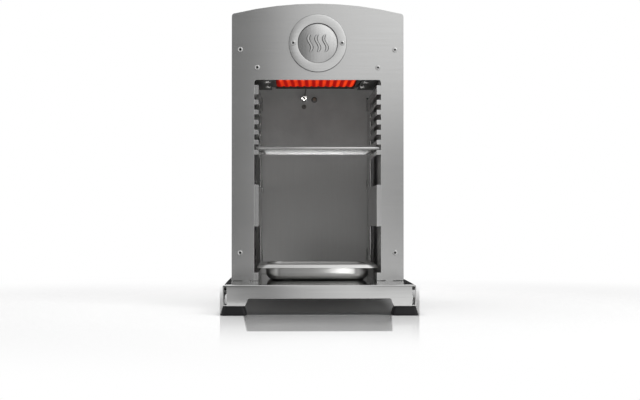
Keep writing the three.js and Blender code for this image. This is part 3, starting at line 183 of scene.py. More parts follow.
def blendColor(tree, share, first, second):
    # colours are another node's output or three numbers
    first, second = ((*color, 1) if isinstance(color, tuple) else color for color in (first, second))
    return addNode(tree, "ShaderNodeMix", {"Factor": share, 6: first, 7: second}, data_type="RGBA").outputs[2]


def rampOf(tree, value, low, high, stops):
    # grey levels at places between low and high
    ramp = addNode(tree, "ShaderNodeValToRGB", {0: ranged(tree, value, low, high)})
    elements = ramp.color_ramp.elements
    while len(elements) < len(stops):
        elements.new(0.5)
    for element, (place, level) in zip(elements, stops):
        element.position = (place - low) / (high - low)
        element.color = (level, level, level, 1)
    return ramp.outputs["Color"]


def mixShaders(tree, share, first, second):
    return addNode(tree, "ShaderNodeMixShader", {"Fac": share, 1: first.outputs[0], 2: second.outputs[0]})


def emptyMaterial(name):
    material = bpy.data.materials.new(name)
    material.use_nodes = True
    material.node_tree.nodes.clear()
    return material, material.node_tree


def endMaterial(tree, shader):
    addNode(tree, "ShaderNodeOutputMaterial", {"Surface": shader.outputs[0]})


def seenDirectly(tree):
    # 1 for what the camera, metal and glass see
    path = addNode(tree, "ShaderNodeLightPath").outputs
    direct = maths(tree, "MAXIMUM", path["Is Camera Ray"], path["Is Glossy Ray"])
    return maths(tree, "MAXIMUM", direct, path["Is Transmission Ray"])


def addWorld(look):
    world = bpy.data.worlds.new("whiteStudio")
    scene.world = world
    world.use_nodes = True
    tree = world.node_tree
    tree.nodes.clear()
    level = ranged(tree, seenDirectly(tree), 0, 1, look["ambientLevel"], look["whiteLevel"])
    sky = addNode(tree, "ShaderNodeBackground", {"Color": (1, 1, 1, 1), "Strength": level})
    addNode(tree, "ShaderNodeOutputWorld", {0: sky.outputs[0]})


def addLamps(look):
    for name, place, target, width, height, watts, spread, inMetal in look["lamps"]:
        lamp = bpy.data.lights.new(name, "AREA")
        lamp.shape = "RECTANGLE"
        lamp.size, lamp.size_y = width, height
        lamp.energy = watts
        lamp.spread = math.radians(spread)
        holder = bpy.data.objects.new(name, lamp)
        holder.location = place
        aim = Vector(target) - Vector(place)
        holder.rotation_euler = aim.to_track_quat("-Z", "Y").to_euler()
        holder.visible_camera = False
        holder.visible_glossy = inMetal
        scene.collection.objects.link(holder)


def stageSheet(name, corners, material):
    mesh = bpy.data.meshes.new(name)
    mesh.from_pydata(corners, [], [(0, 1, 2, 3)])
    mesh.materials.append(material)
    sheet = bpy.data.objects.new(name, mesh)
    scene.collection.objects.link(sheet)
    return sheet


def addFloor(look):
    material, tree = emptyMaterial("paleFloor")
    place = objectPlace(tree)
    axes = axesOf(tree, place)
    away = addNode(tree, "ShaderNodeVectorMath", {0: place}, operation="LENGTH").outputs["Value"]

    def smooth(value, *ends):
        return ranged(tree, value, *ends, interpolation_type="SMOOTHSTEP")

    def band(value, stops):
        # 0 outside the four stops, 1 between the middle two
        return product(tree, smooth(value, *stops[:2], 0, 1), smooth(value, *stops[2:], 1, 0))

    under = product(tree, band(axes["X"], look["underX"]), band(axes["Y"], look["underY"]))
    shade = product(tree, under, look["underShade"])
    # the hand grip's opening shows more clearly, over a place that narrows towards the camera
    ends = pick(look, "gripLean", "gripShift")
    half, shift = (ranged(tree, axes["Y"], *stops, clamp=False) for stops in ends)
    even = maths(tree, "DIVIDE", maths(tree, "ADD", axes["X"], shift), half)
    inGrip = product(tree, band(even, look["gripX"]), band(axes["Y"], look["gripY"]))
    depth = rampOf(tree, axes["Y"], look["gripY"][0], look["gripY"][3], look["gripMirror"])
    plain = product(tree, smooth(away, *look["mirrorFade"]), maths(tree, "SUBTRACT", 1, shade))
    mirror = maths(tree, "MAXIMUM", plain, product(tree, inGrip, depth))
    rough = ranged(tree, noise(tree, place, look["floorCloud"]), 0, 1, *look["floorRoughness"])
    # painted shadow: the floor's colour goes towards black under the base
    color = blendColor(tree, shade, look["floorColor"], (0, 0, 0))
    paint = addNode(tree, "ShaderNodeBsdfDiffuse", {"Color": color})
    gloss = addNode(tree, "ShaderNodeBsdfGlossy", {"Color": (1, 1, 1, 1), "Roughness": rough})
    white = addNode(tree, "ShaderNodeEmission", {"Color": (1, 1, 1, 1)})
    share = product(tree, smooth(away, *look["whiteFade"]), seenDirectly(tree))
    endMaterial(tree, mixShaders(tree, share, mixShaders(tree, mirror, paint, gloss), white))
    far = look["floorHalf"]
    stageSheet("paleFloor", [(-far, -far, 0), (far, -far, 0), (far, far, 0), (-far, far, 0)], material)


def glossySheet(name, tree, material, level, strength, place):
    # stands upright, shines on the side that its normal points to, and only glossy rays see it
    glow = addNode(tree, "ShaderNodeEmission", {"Color": level, "Strength": strength})
    clear = addNode(tree, "ShaderNodeBsdfTransparent")
    behind = addNode(tree, "ShaderNodeNewGeometry").outputs["Backfacing"]
    endMaterial(tree, mixShaders(tree, behind, clear, glow))
    start, end, y, top = place
    sheet = stageSheet(name, [(start, y, 0), (end, y, 0), (end, y, top), (start, y, top)], material)
    sheet.visible_camera = sheet.visible_diffuse = sheet.visible_shadow = sheet.visible_transmission = False


def addCards(look):
    material, tree = emptyMaterial("gradientCard")
    axes = axesOf(tree, objectPlace(tree))
    half, top, y = pick(look, "cardHalf", "cardHeight", "cardPlace")
    levels = pick(look, "cardAcross", "footAcross", "cardSide")
    across, footAcross, side = (rampOf(tree, axes["X"], -half, half, stops) for stops in levels)
    lift, foot = (ranged(tree, axes["Z"], *ends) for ends in pick(look, "cardLift", "footTop"))
    lost = product(tree, side, rampOf(tree, axes["Z"], 0, top, look["cardDip"]))
    strength = product(tree, maths(tree, "SUBTRACT", 1, lost), lift)
    level = blendColor(tree, foot, across, footAcross)
    glossySheet("gradientCard", tree, material, level, strength, (-half, half, y, top))
    material, tree = emptyMaterial("rearFlag")
    left, right, y, top = look["flag"]
    level = rampOf(tree, axesOf(tree, objectPlace(tree))["Z"], 0, top, look["flagRise"])
    glossySheet("rearFlag", tree, material, level, 1, (right, left, y, top))


print("camera, floor and lights")
addCamera(cameraView)
addWorld(studio)
addLamps(studio)
addFloor(studio)
addCards(studio)
scene.view_settings.view_transform = "Standard"


# shared shader groups

effects = {
    # each noise's scale, detail and roughness, and the range of it that goes from 0 to 1
    "broadGrain": ((6, 620, 620), 3.0, 0.55), "fineGrain": ((30, 1900, 1900), 2.0, 0.6),
    "grainSpread": (0.62, 1.38),
    "edgeTilt": (0.10, 0.30), "wearAndHighlightPatch": (60, 4.0), "wearAndHighlightSpread": (0.35, 0.65),
    "wipe": (9, 5.0, 0.6), "wipeSpread": (0.3, 0.7), "speck": (420,), "speckSpread": (0.62, 0.74),
    "upperLightWander": (14, 4.0, 0.6), "upperLightWanderSpread": (0.3, 0.7, -0.03, 0.03),    # it wanders up and down by this
}


def shaderGroup(name, **amounts):
    # every group reads a vector, and amounts are its other inputs
    tree = bpy.data.node_groups.new(name, "ShaderNodeTree")
    tree.interface.new_socket("Vector", in_out="INPUT", socket_type="NodeSocketVector")
    for label, value in amounts.items():
        tree.interface.new_socket(label, in_out="INPUT", socket_type="NodeSocketFloat").default_value = value
    return tree, addNode(tree, "NodeGroupInput").outputs


def endGroup(tree, **results):
    for label in results:
        tree.interface.new_socket(label, in_out="OUTPUT", socket_type="NodeSocketFloat")
    addNode(tree, "NodeGroupOutput", results)
    return tree


def scaled(tree, vector, factors):
    return addNode(tree, "ShaderNodeVectorMath", {0: vector, 1: factors}, operation="MULTIPLY").outputs[0]


def buildBrushGrain(look):
    # long fine scratches along X of the incoming vector, with broader streaks under them
    tree, source = shaderGroup("brushGrain", Fineness=1.0)
    inputs = {0: source["Vector"], "Scale": source["Fineness"]}
    place = addNode(tree, "ShaderNodeVectorMath", inputs, operation="SCALE").outputs[0]

    def grain(factors, *quality):
        return noise(tree, scaled(tree, place, factors), 1.0, *quality)

    broad, fine = (grain(*values) for values in pick(look, "broadGrain", "fineGrain"))
    streak = ranged(tree, maths(tree, "ADD", broad, fine), *look["grainSpread"])
    return endGroup(tree, Streak=streak, Height=fine)


def buildEdgeWearAndHighlight(look):
    # bare bright edges, partly wear and partly a painted highlight along rounded edges, broken up so that
    # they aren't even
    tree, source = shaderGroup("edgeWearAndHighlight", Amount=0.5)
    shape = addNode(tree, "ShaderNodeNewGeometry").outputs
    normals = {0: shape["Normal"], 1: shape["True Normal"]}
    tilt = addNode(tree, "ShaderNodeVectorMath", normals, operation="DISTANCE").outputs["Value"]
    patch = ranged(tree, noise(tree, source["Vector"], *look["wearAndHighlightPatch"]), *look["wearAndHighlightSpread"])
    broken = product(tree, ranged(tree, tilt, *look["edgeTilt"]), patch)
    return endGroup(tree, Mask=product(tree, broken, source["Amount"]))


def buildSmudge(look):
    # soft patches from wiping and handling, and small specks
    tree, source = shaderGroup("wipeSmudge")
    cloud = ranged(tree, noise(tree, source["Vector"], *look["wipe"]), *look["wipeSpread"])
    speck = ranged(tree, noise(tree, source["Vector"], *look["speck"]), *look["speckSpread"])
    return endGroup(tree, Cloud=cloud, Speck=speck)


def buildPaintedUpperLight(look):
    # painted light: a lighter colour higher up, from low to high along Z, with a wandering edge
    tree, source = shaderGroup("paintedUpperLight", Low=0.2, High=0.34)
    wander = ranged(tree, noise(tree, source["Vector"], *look["upperLightWander"]), *look["upperLightWanderSpread"])
    height = maths(tree, "ADD", axesOf(tree, source["Vector"])["Z"], wander)
    return endGroup(tree, Mask=ranged(tree, height, source["Low"], source["High"]))


print("shader groups")
brushGrain = buildBrushGrain(effects)
edgeWearAndHighlight = buildEdgeWearAndHighlight(effects)
wipeSmudge = buildSmudge(effects)
paintedUpperLight = buildPaintedUpperLight(effects)


def useGroup(tree, group, **values):
    return addNode(tree, "ShaderNodeGroup", values, node_tree=group).outputs


def endBumped(tree, height, strength, distance, inputs):
    # the material's own shader, with a bump that is distance millimetres deep
    values = {"Height": height, "Strength": strength, "Distance": distance * mm}
    bump = addNode(tree, "ShaderNodeBump", values)
    endMaterial(tree, addNode(tree, "ShaderNodeBsdfPrincipled", {**inputs, "Normal": bump.outputs[0]}))


# metals: dark and light are the grain's two colours, and turn is the grain's angle about Y

plainMetal = {
    "bump": 0.004, "wearAndHighlightAmount": 0.5, "turn": 0, "speck": 0.05, "metallic": 1,
    "speckDark": 0.4, "bumpStrength": 0.35, "roughSpread": (0.2, 1.8),
    # how far a face's normal points to the front, or down, for the masks below
    "sideTurn": (-0.96, -0.86), "recessShadeTurn": (-0.25, -0.6), "underTurn": (-0.7, -0.9),
}
metalLooks = {
    "brushedSteel": {
        "dark": (0.58, 0.58, 0.575), "light": (0.62, 0.62, 0.615), "rough": (0.21, 0.24), "bump": 0.003,
        "wear": (0.85, 0.85, 0.84), "speck": 0.02,
    },
    "baseSteel": {
        "dark": (0.58, 0.58, 0.575), "light": (0.63, 0.63, 0.625), "rough": (0.06, 0.09), "bump": 0.001,
        # its rounded bends take a strong painted highlight along with wear
        "wear": (0.97, 0.97, 0.96), "wearAndHighlightAmount": 0.8, "speck": 0.02,
        # its underside and the inside of its rear wall, which starts at this depth, aren't polished, and are
        # painted darker as painted shade
        "under": (0.44, 0.44, 0.435), "underRough": 0.5, "rearWall": (0.19, 0.20),
    },
    "uprightSteel": {
        "dark": (0.56, 0.56, 0.555), "light": (0.66, 0.66, 0.655), "rough": (0.22, 0.29), "bump": 0.006,
        "wear": (0.85, 0.85, 0.84), "turn": 90, "speck": 0.04,
        # painted shade on faces that look to the front, from this depth behind the front flange, deep in the
        # cavity
        "paintedRecessShade": (0.16, 0.16, 0.158), "recessShadeFrom": (-0.098, -0.097),
    },
    "cavitySteel": {
        "dark": (0.60, 0.598, 0.592), "light": (0.64, 0.638, 0.632), "rough": (0.62, 0.66),
        "wear": (0.55, 0.54, 0.52), "wearAndHighlightAmount": 0.4, "turn": 90,
        # its upper walls, towards the burner, are painted lighter: painted light
        "upperLight": (0.93, 0.925, 0.915), "upperLightRange": (0.22, 0.34), "upperLightAmount": 0.9,
    },
    "sootedSteel": {
        "dark": (0.13, 0.128, 0.125), "light": (0.17, 0.168, 0.164), "rough": (0.40, 0.48),
        "wear": (0.4, 0.39, 0.37), "speck": 0.1,
    },
    "heatedSteel": {
        "dark": (0.30, 0.285, 0.27), "light": (0.38, 0.36, 0.345), "rough": (0.42, 0.55),
        "wear": (0.55, 0.54, 0.52), "wearAndHighlightAmount": 0.6, "speck": 0.1,
    },
    "platedSteel": {
        "dark": (0.34, 0.335, 0.325), "light": (0.42, 0.415, 0.405), "rough": (0.50, 0.62),
        "wear": (0.60, 0.59, 0.57), "wearAndHighlightAmount": 0.3, "metallic": 0.4,
    },
    "heatedCopper": {
        "dark": (0.36, 0.25, 0.21), "light": (0.60, 0.46, 0.40), "rough": (0.28, 0.42),
        "wear": (0.80, 0.62, 0.52), "turn": 90, "speck": 0.15,
    },
    "polishedSteel": {
        "dark": (0.46, 0.46, 0.455), "light": (0.58, 0.58, 0.575), "rough": (0.18, 0.26),
        "wear": (0.92, 0.92, 0.91), "wearAndHighlightAmount": 0.4,
    },
    "fastenerSteel": {
        "dark": (0.50, 0.50, 0.495), "light": (0.60, 0.60, 0.595), "rough": (0.16, 0.24),
        # its screw sockets are painted near black, as painted shade
        "wear": (0.9, 0.9, 0.89), "speck": 0.08, "socket": (0.015, 0.015, 0.015),
    },
    # a lighter copy of steel for the grate's bars: painted light for their shaded undersides
    "grateSteelPaintedLight": {
        "dark": (0.66, 0.66, 0.655), "light": (0.80, 0.80, 0.795), "rough": (0.40, 0.52),
        "wear": (0.92, 0.92, 0.91), "wearAndHighlightAmount": 0.3,
    },
    "brassFitting": {
        "dark": (0.55, 0.38, 0.14), "light": (0.76, 0.58, 0.27), "rough": (0.22, 0.38), "bump": 0.006,
        "wear": (0.9, 0.75, 0.42), "wearAndHighlightAmount": 0.6, "speck": 0.2,
    },
    "panSteel": {
        "dark": (0.50, 0.50, 0.49), "light": (0.56, 0.56, 0.55), "rough": (0.32, 0.37), "bump": 0.001,
        "wear": (0.92, 0.92, 0.91), "wearAndHighlightAmount": 0.2, "speck": 0.04,
    },
    "badgeSteel": {
        "dark": (0.64, 0.64, 0.635), "light": (0.69, 0.69, 0.685), "rough": (0.22, 0.26),
        "wear": (0.85, 0.85, 0.85), "wearAndHighlightAmount": 0.1, "speck": 0.03, "paintedSideShade": (0.05, 0.05, 0.05),
    },
    "badgeGround": {
        "dark": (0.55, 0.55, 0.545), "light": (0.61, 0.61, 0.605), "rough": (0.22, 0.27), "bump": 0.005,
        "wear": (0.85, 0.85, 0.85), "wearAndHighlightAmount": 0.1, "turn": 90, "speck": 0.03,
        "paintedSideShade": (0.03, 0.03, 0.03),
    },
    "copperPipe": {
        "dark": (0.48, 0.20, 0.10), "light": (0.74, 0.38, 0.22), "rough": (0.2, 0.36), "bump": 0.005,
        "wear": (0.88, 0.55, 0.38), "turn": 90, "speck": 0.2,
    },
}


def metalMaterial(name, ownLook):
    look = {**plainMetal, **ownLook}
    material, tree = emptyMaterial(name)
    place = objectPlace(tree)

    def facing(axis, ends):
        # 0 to 1 as the normal's part along the axis goes from one end to the other
        normal = addNode(tree, "ShaderNodeNewGeometry").outputs["Normal"]
        return ranged(tree, axesOf(tree, normal)[axis], *ends)

    def beyond(ends):
        return ranged(tree, axesOf(tree, place)["Y"], *ends)

    turn = (0, math.radians(look["turn"]), 0)
    along = addNode(tree, "ShaderNodeMapping", {"Vector": place, "Rotation": turn}).outputs[0]
    grain = useGroup(tree, brushGrain, Vector=along)
    wearAndHighlightEdges = useGroup(tree, edgeWearAndHighlight, Vector=place, Amount=look["wearAndHighlightAmount"])
    smudge = useGroup(tree, wipeSmudge, Vector=place)
    color = blendColor(tree, grain["Streak"], look["dark"], look["light"])
    # painted light: the upper part is painted lighter
    if "upperLight" in look:
        low, high = look["upperLightRange"]
        lightShare = useGroup(tree, paintedUpperLight, Vector=place, Low=low, High=high)
        color = blendColor(tree, product(tree, lightShare["Mask"], look["upperLightAmount"]), color, look["upperLight"])
    specks = product(tree, smudge["Speck"], look["speck"])
    color = blendColor(tree, specks, color, tuple(part * look["speckDark"] for part in look["dark"]))
    # painted highlight and wear: rounded edges take the edge colour
    color = blendColor(tree, wearAndHighlightEdges["Mask"], color, look["wear"])
    mixed = maths(tree, "ADD", grain["Streak"], smudge["Cloud"])
    rough = ranged(tree, mixed, *look["roughSpread"], *look["rough"])
    if "paintedSideShade" in look:    # painted shade: everything that turns away from the front is painted dark, as outline shadows
        color = blendColor(tree, facing("Y", look["sideTurn"]), color, look["paintedSideShade"])
    # painted shade on front-facing faces deep in the cavity
    if "paintedRecessShade" in look:
        recessShade = product(tree, facing("Y", look["recessShadeTurn"]), beyond(look["recessShadeFrom"]))
        color = blendColor(tree, recessShade, color, look["paintedRecessShade"])
    if "under" in look:
        rearWall = product(tree, facing("Y", look["underTurn"]), beyond(look["rearWall"]))
        under = maths(tree, "MAXIMUM", facing("Z", look["underTurn"]), rearWall)
        # painted shade: the base's underside and the inside of its rear wall are painted darker
        color = blendColor(tree, under, color, look["under"])
        rough = maths(tree, "MAXIMUM", rough, product(tree, under, look["underRough"]))
    # painted shade: the screw sockets are painted near black
    if "socket" in look:
        shadedHollow = addNode(tree, "ShaderNodeAttribute", attribute_name="deep").outputs["Fac"]
        color = blendColor(tree, shadedHollow, color, look["socket"])
    endBumped(tree, grain["Height"], look["bumpStrength"], look["bump"], {
        "Base Color": color, "Roughness": rough, "Metallic": look["metallic"],
    })
    return material


# moulded, fired and glowing surfaces

plainMoulded = {"wearAndHighlightAmount": 0.5, "gleam": 0.5, "grainSpread": (0.3, 0.7), "bumpStrength": 0.4}
mouldedLooks = {
    "blackRubber": {
        "dark": (0.004, 0.004, 0.0045), "light": (0.008, 0.008, 0.009), "rough": (0.50, 0.62),
        "grain": 900, "bump": 0.05, "wear": (0.03, 0.03, 0.03), "wearAndHighlightAmount": 0.4, "gleam": 0.2,
    },
    "blackPlastic": {
        "dark": (0.010, 0.010, 0.011), "light": (0.018, 0.018, 0.019), "rough": (0.30, 0.42),
        "grain": 1600, "bump": 0.02, "wear": (0.05, 0.05, 0.05),
    },
    "buttonPlastic": {
        "dark": (0.014, 0.014, 0.015), "light": (0.026, 0.026, 0.028), "rough": (0.22, 0.3),
        "grain": 1200, "bump": 0.01, "wear": (0.06, 0.06, 0.06),
    },
    "whiteCeramic": {
        "dark": (0.50, 0.49, 0.46), "light": (0.62, 0.61, 0.585), "rough": (0.62, 0.74),
        "grain": 700, "bump": 0.02, "wear": (0.70, 0.69, 0.67), "wearAndHighlightAmount": 0.4,
    },
}
mouldedLooks["knobPlastic"] = {
    **mouldedLooks["blackPlastic"],
    "pointer": (0.78, 0.78, 0.76),
    "pointerSize": (0.0008, 0.005, 0.0135),    # half width, and from and to above the knob's middle
    "pointerEdge": 0.0001,
}


def pointerMask(tree, place, look):
    # a painted line on the end of the control knob
    wide, low, high = look["pointerSize"]
    middle = boxOf("control_knob")[2]
    axes = axesOf(tree, place)
    aside = awayFrom(tree, axes["X"], middle.x)
    reach = awayFrom(tree, axes["Z"], middle.z + (low + high) / 2)
    long = (high - low) / 2
    across, along = (ranged(tree, value, half, half + look["pointerEdge"], 1, 0)
                     for value, half in ((aside, wide), (reach, long)))
    return product(tree, across, along)


def mouldedMaterial(name, ownLook):
    look = {**plainMoulded, **ownLook}
    material, tree = emptyMaterial(name)
    place = objectPlace(tree)
    smudge = useGroup(tree, wipeSmudge, Vector=place)
    wearAndHighlightEdges = useGroup(tree, edgeWearAndHighlight, Vector=place, Amount=look["wearAndHighlightAmount"])
    color = blendColor(tree, smudge["Cloud"], look["dark"], look["light"])
    # painted highlight and wear: rounded edges take the edge colour
    color = blendColor(tree, wearAndHighlightEdges["Mask"], color, look["wear"])
    if "pointer" in look:
        color = blendColor(tree, pointerMask(tree, place, look), color, look["pointer"])
    grain = noise(tree, place, look["grain"])
    endBumped(tree, grain, look["bumpStrength"], look["bump"], {
        "Base Color": color, "Specular IOR Level": look["gleam"],
        "Roughness": ranged(tree, grain, *look["grainSpread"], *look["rough"]),
    })
    return material


glowLook = {
    "hot": (1.0, 0.062, 0.010),
    "cool": (0.36, 0.003, 0.003),
    "clay": (0.025, 0.010, 0.008),
    "pitShade": 0.3,
    "strength": 1.0,             # what the camera sees
    "spill": 0.04,               # what it casts on the cavity
    "stripes": 11, "across": 0.126, "stripeEnds": (-0.6, 0.7),
    "stripeFan": 0.36, "stripeLean": -0.018, "front": -0.0835,    # they run a little together to the back
    "rootHeat": 0.6,
    "patch": (22, 4.0), "patchEnds": (0.25, 0.6, 0.35, 1.0),
    "endFade": (0.057, 0.0645, 1.0, 0.05),   # it glows less towards its two ends, on the left first
    "endShift": 0.002,
    "boreScale": 620, "boreEnds": (0.10, 0.35), "boreDepth": 0.4,
    "ribs": (0.3421, 0.3403),    # heights of the ribs' root and of their crest below it
    "roughness": 0.95, "gleam": 0.1, "bumpStrength": 0.6,
}


def glowMaterial(name, look):
    material, tree = emptyMaterial(name)
    place = objectPlace(tree)
    axes = axesOf(tree, place)
    crest = ranged(tree, ranged(tree, axes["Z"], *look["ribs"]), 0, 1, look["rootHeat"], 1.0)
    patch = ranged(tree, noise(tree, place, *look["patch"]), *look["patchEnds"])
    inward = maths(tree, "SUBTRACT", axes["Y"], look["front"])
    widen = maths(tree, "ADD", product(tree, inward, look["stripeFan"]), 1.0)
    lean = product(tree, inward, look["stripeLean"])
    aside = maths(tree, "ADD", product(tree, axes["X"], widen), lean)
    turns = product(tree, aside, 2 * math.pi * look["stripes"] / look["across"])
    stripe = ranged(tree, maths(tree, "COSINE", turns), *look["stripeEnds"])
    lightShare = product(tree, product(tree, stripe, crest), patch)
    fade = ranged(tree, awayFrom(tree, axes["X"], look["endShift"]), *look["endFade"])
    glow = blendColor(tree, fade, (0, 0, 0), blendColor(tree, lightShare, look["cool"], look["hot"]))
    flat = {"Vector": scaled(tree, place, (1, 1, 0)), "Scale": look["boreScale"]}
    bores = addNode(tree, "ShaderNodeTexVoronoi", flat).outputs["Distance"]
    pits = ranged(tree, bores, *look["boreEnds"])
    seen = addNode(tree, "ShaderNodeLightPath").outputs["Is Camera Ray"]
    pitClay = tuple(part * look["pitShade"] for part in look["clay"])
    endBumped(tree, pits, look["bumpStrength"], look["boreDepth"], {
        "Base Color": blendColor(tree, pits, pitClay, look["clay"]),
        "Roughness": look["roughness"],
        "Specular IOR Level": look["gleam"],
        "Emission Color": glow,
        "Emission Strength": ranged(tree, seen, 0, 1, look["spill"], look["strength"]),
    })
    return material


def boxOf(node):
    low, high = (Vector(corner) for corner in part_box(node))
    return low, high, (low + high) / 2


print("materials")
finishes = {name: metalMaterial(name, look) for name, look in metalLooks.items()}
finishes.update({name: mouldedMaterial(name, look) for name, look in mouldedLooks.items()})
finishes["glowingCeramic"] = glowMaterial("glowingCeramic", glowLook)
finishOfSlot = {
    "brushed_steel": "brushedSteel", "cavity_steel": "cavitySteel", "polished_steel": "polishedSteel",
    "fastener_steel": "fastenerSteel", "brass": "brassFitting", "copper": "copperPipe",
    "white_ceramic": "whiteCeramic", "burner_ceramic": "glowingCeramic", "black_rubber": "blackRubber",
    "black_plastic": "blackPlastic",
}
finishOfNode = {
    "rack_plate_left": "uprightSteel", "rack_plate_right": "uprightSteel", "base_tray": "baseSteel",
    "burner_frame": "sootedSteel", "burner_rail_left": "sootedSteel", "burner_rail_right": "sootedSteel",
    "spark_wire": "heatedSteel",
}


def finishFor(node):
    return finishes[finishOfNode.get(node, finishOfSlot[slotOf[node]])]


# making and keeping pieces

standIns = set()
easedEdges = {
    "width": 0.25, "segments": 2, "angle": sharpFrom,
    "merge": 2e-6, "flat": 0.8,    # triangles that lie this flat to each other, in degrees, become one face
    "room": 0.4,                   # the part of its shortest neighbour that an edge may take
}


def keepPiece(piece, *names):
    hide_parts(*names)
    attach(piece, bodyOf[names[0]])
    standIns.update(names)


def newPiece(name, mesh, material=None):
    piece = bpy.data.objects.new(name, mesh)
    scene.collection.objects.link(piece)
    if material:
        mesh.materials.clear()
        mesh.materials.append(material)
    return piece


def meshFrom(name, places, faces):
    mesh = bpy.data.meshes.new(name)
    mesh.from_pydata([tuple(place) for place in places], [], faces)
    work = bmesh.new()
    work.from_mesh(mesh)
    bmesh.ops.remove_doubles(work, verts=work.verts, dist=mergeWithin)
    bmesh.ops.recalc_face_normals(work, faces=work.faces)
    work.to_mesh(mesh)
    work.free()
    return mesh


def smoothed(mesh, angle):
    mesh.shade_smooth()
    mesh.set_sharp_from_angle(angle=math.radians(angle))


def baked(piece):
    # modifiers become a plain mesh
    view = bpy.context.evaluated_depsgraph_get()
    view.update()
    final = piece.evaluated_get(view)
    mesh = bpy.data.meshes.new_from_object(final, preserve_all_data_layers=True, depsgraph=view)
    piece.modifiers.clear()
    piece.data = mesh


def dressNode(node, **changes):
    # the CAD node's own shape with its loose triangles merged and its edges rounded
    look = {**easedEdges, **changes}
    width, angle = look["width"] * mm, look["angle"]
    mesh = nodes[node].data.copy()
    work = bmesh.new()
    work.from_mesh(mesh)
    bmesh.ops.remove_doubles(work, verts=work.verts, dist=look["merge"])
    flat = math.radians(look["flat"])
    bmesh.ops.dissolve_limit(work, angle_limit=flat, verts=work.verts, edges=work.edges)
    room = {}
    for edge in work.edges:
        for vert in edge.verts:
            room[vert.index] = min(room.get(vert.index, 1), edge.calc_length())
    share = work.edges.layers.float.new("bevel_weight_edge")
    for edge in work.edges:
        if edge.is_manifold and edge.calc_face_angle(0) > math.radians(angle):
            near = min(room[vert.index] for vert in edge.verts)
            edge[share] = min(1, look["room"] * near / width)
    work.to_mesh(mesh)
    work.free()
    for layer in list(mesh.uv_layers):
        mesh.uv_layers.remove(layer)
    smoothed(mesh, angle)
    piece = newPiece(node + "_dressed", mesh, finishFor(node))
    bevel = piece.modifiers.new("roundEdges", "BEVEL")
    bevel.width = width
    bevel.segments = look["segments"]
    bevel.limit_method = "WEIGHT"
    bevel.use_clamp_overlap = False
    bevel.harden_normals = False
    weight = piece.modifiers.new("evenShade", "WEIGHTED_NORMAL")
    weight.keep_sharp = True
    baked(piece)
    keepPiece(piece, node)


# turned pieces: rows of radius and height about Z

def skin(rows, steps, closed=False, capped=False):
    # faces between rings of points that follow each other
    faces = []
    for row in range(rows if closed else rows - 1):
        here, above = row * steps, (row + 1) % rows * steps
        for step in range(steps):
            beside = (step + 1) % steps
            faces.append((here + step, here + beside, above + beside, above + step))
    if capped:
        faces += [tuple(reversed(range(steps))), tuple(range((rows - 1) * steps, rows * steps))]
    return faces


def sidedReach(row, angle):
    # a third number makes the row a polygon of that many sides
    radius, height, sides = (*row, 0)[:3]
    if not sides:
        return radius
    part = math.pi / sides
    return radius * (math.cos(part) / math.cos((angle % (2 * part)) - part))


def hexagon(*rows):
    return [(radius, height, hexSides) for radius, height in rows]


def turned(rows, steps, closed=False, capped=False, reachAt=sidedReach):
    places = []
    for row in rows:
        for step in range(steps):
            angle = 2 * math.pi * step / steps
            reach = reachAt(row, angle) * mm
            places.append(Vector((reach * math.cos(angle), reach * math.sin(angle), row[1] * mm)))
    return places, skin(len(rows), steps, closed, capped)


def bend(before, here, after, reach, steps):
    # a corner's rounded run of points
    first = here + (before - here).normalized() * reach
    last = here + (after - here).normalized() * reach
    shares = [step / steps for step in range(steps + 1)]
    return [first.lerp(here, share).lerp(here.lerp(last, share), share) for share in shares]


def eased(corners, radius, steps=3, closed=False):
    # rounds the corners of a run of (radius, height) rows
    count = len(corners)
    most = 0.45    # of a side that one corner may take
    result = []
    for i, corner in enumerate(corners):
        if not closed and i in (0, count - 1):
            result.append(corner)
            continue
        before, here, after = (Vector(corners[j % count]) for j in (i - 1, i, i + 1))
        reach = min(radius, (here - before).length * most, (after - here).length * most)
        result += [tuple(point) for point in bend(before, here, after, reach, steps)]
    return result


asDrawn = Matrix.Identity(4)
towardFront = Matrix.Rotation(math.radians(90), 4, "X")      # Z becomes -Y
towardBack = Matrix.Rotation(math.radians(-90), 4, "X")      # Z becomes +Y
sideways = Matrix.Rotation(math.radians(90), 4, "Y")         # Z becomes +X


def combined(name, parts, finish, angle=40):
    # parts are (places, faces, turn, shift), merged into one mesh
    places, faces = [], []
    for partPlaces, partFaces, turn, shift in parts:
        base = len(places)
        places += [turn @ place + Vector(shift) for place in partPlaces]
        faces += [tuple(index + base for index in face) for face in partFaces]
    mesh = meshFrom(name, places, faces)
    smoothed(mesh, angle)
    return newPiece(name, mesh, finishes[finish])


def keepTurned(name, node, rows, steps, finish, angle=40, closed=False):
    # one turned shape that runs from the node's front end to the back
    low, high, middle = boxOf(node)
    shape = turned(rows, steps, closed)
    keepPiece(combined(name, [(*shape, towardBack, (middle.x, low.y, middle.z))], finish, angle), node)


# fasteners, set on their points by one geometry tree

def geometryTree(name, inputs):
    tree = bpy.data.node_groups.new(name, "GeometryNodeTree")
    tree.interface.new_socket("Geometry", in_out="INPUT", socket_type="NodeSocketGeometry")
    for label, kind in inputs.items():
        tree.interface.new_socket(label, in_out="INPUT", socket_type="NodeSocket" + kind)
    tree.interface.new_socket("Finish", in_out="INPUT", socket_type="NodeSocketMaterial")
    tree.interface.new_socket("Geometry", in_out="OUTPUT", socket_type="NodeSocketGeometry")
    return tree, addNode(tree, "NodeGroupInput").outputs


def endTree(tree, source, geometry):
    real = addNode(tree, "GeometryNodeRealizeInstances", {0: geometry})
    inputs = {"Geometry": real.outputs[0], "Material": source["Finish"]}
    paint = addNode(tree, "GeometryNodeSetMaterial", inputs)
    addNode(tree, "NodeGroupOutput", {"Geometry": paint.outputs[0]})
    return tree


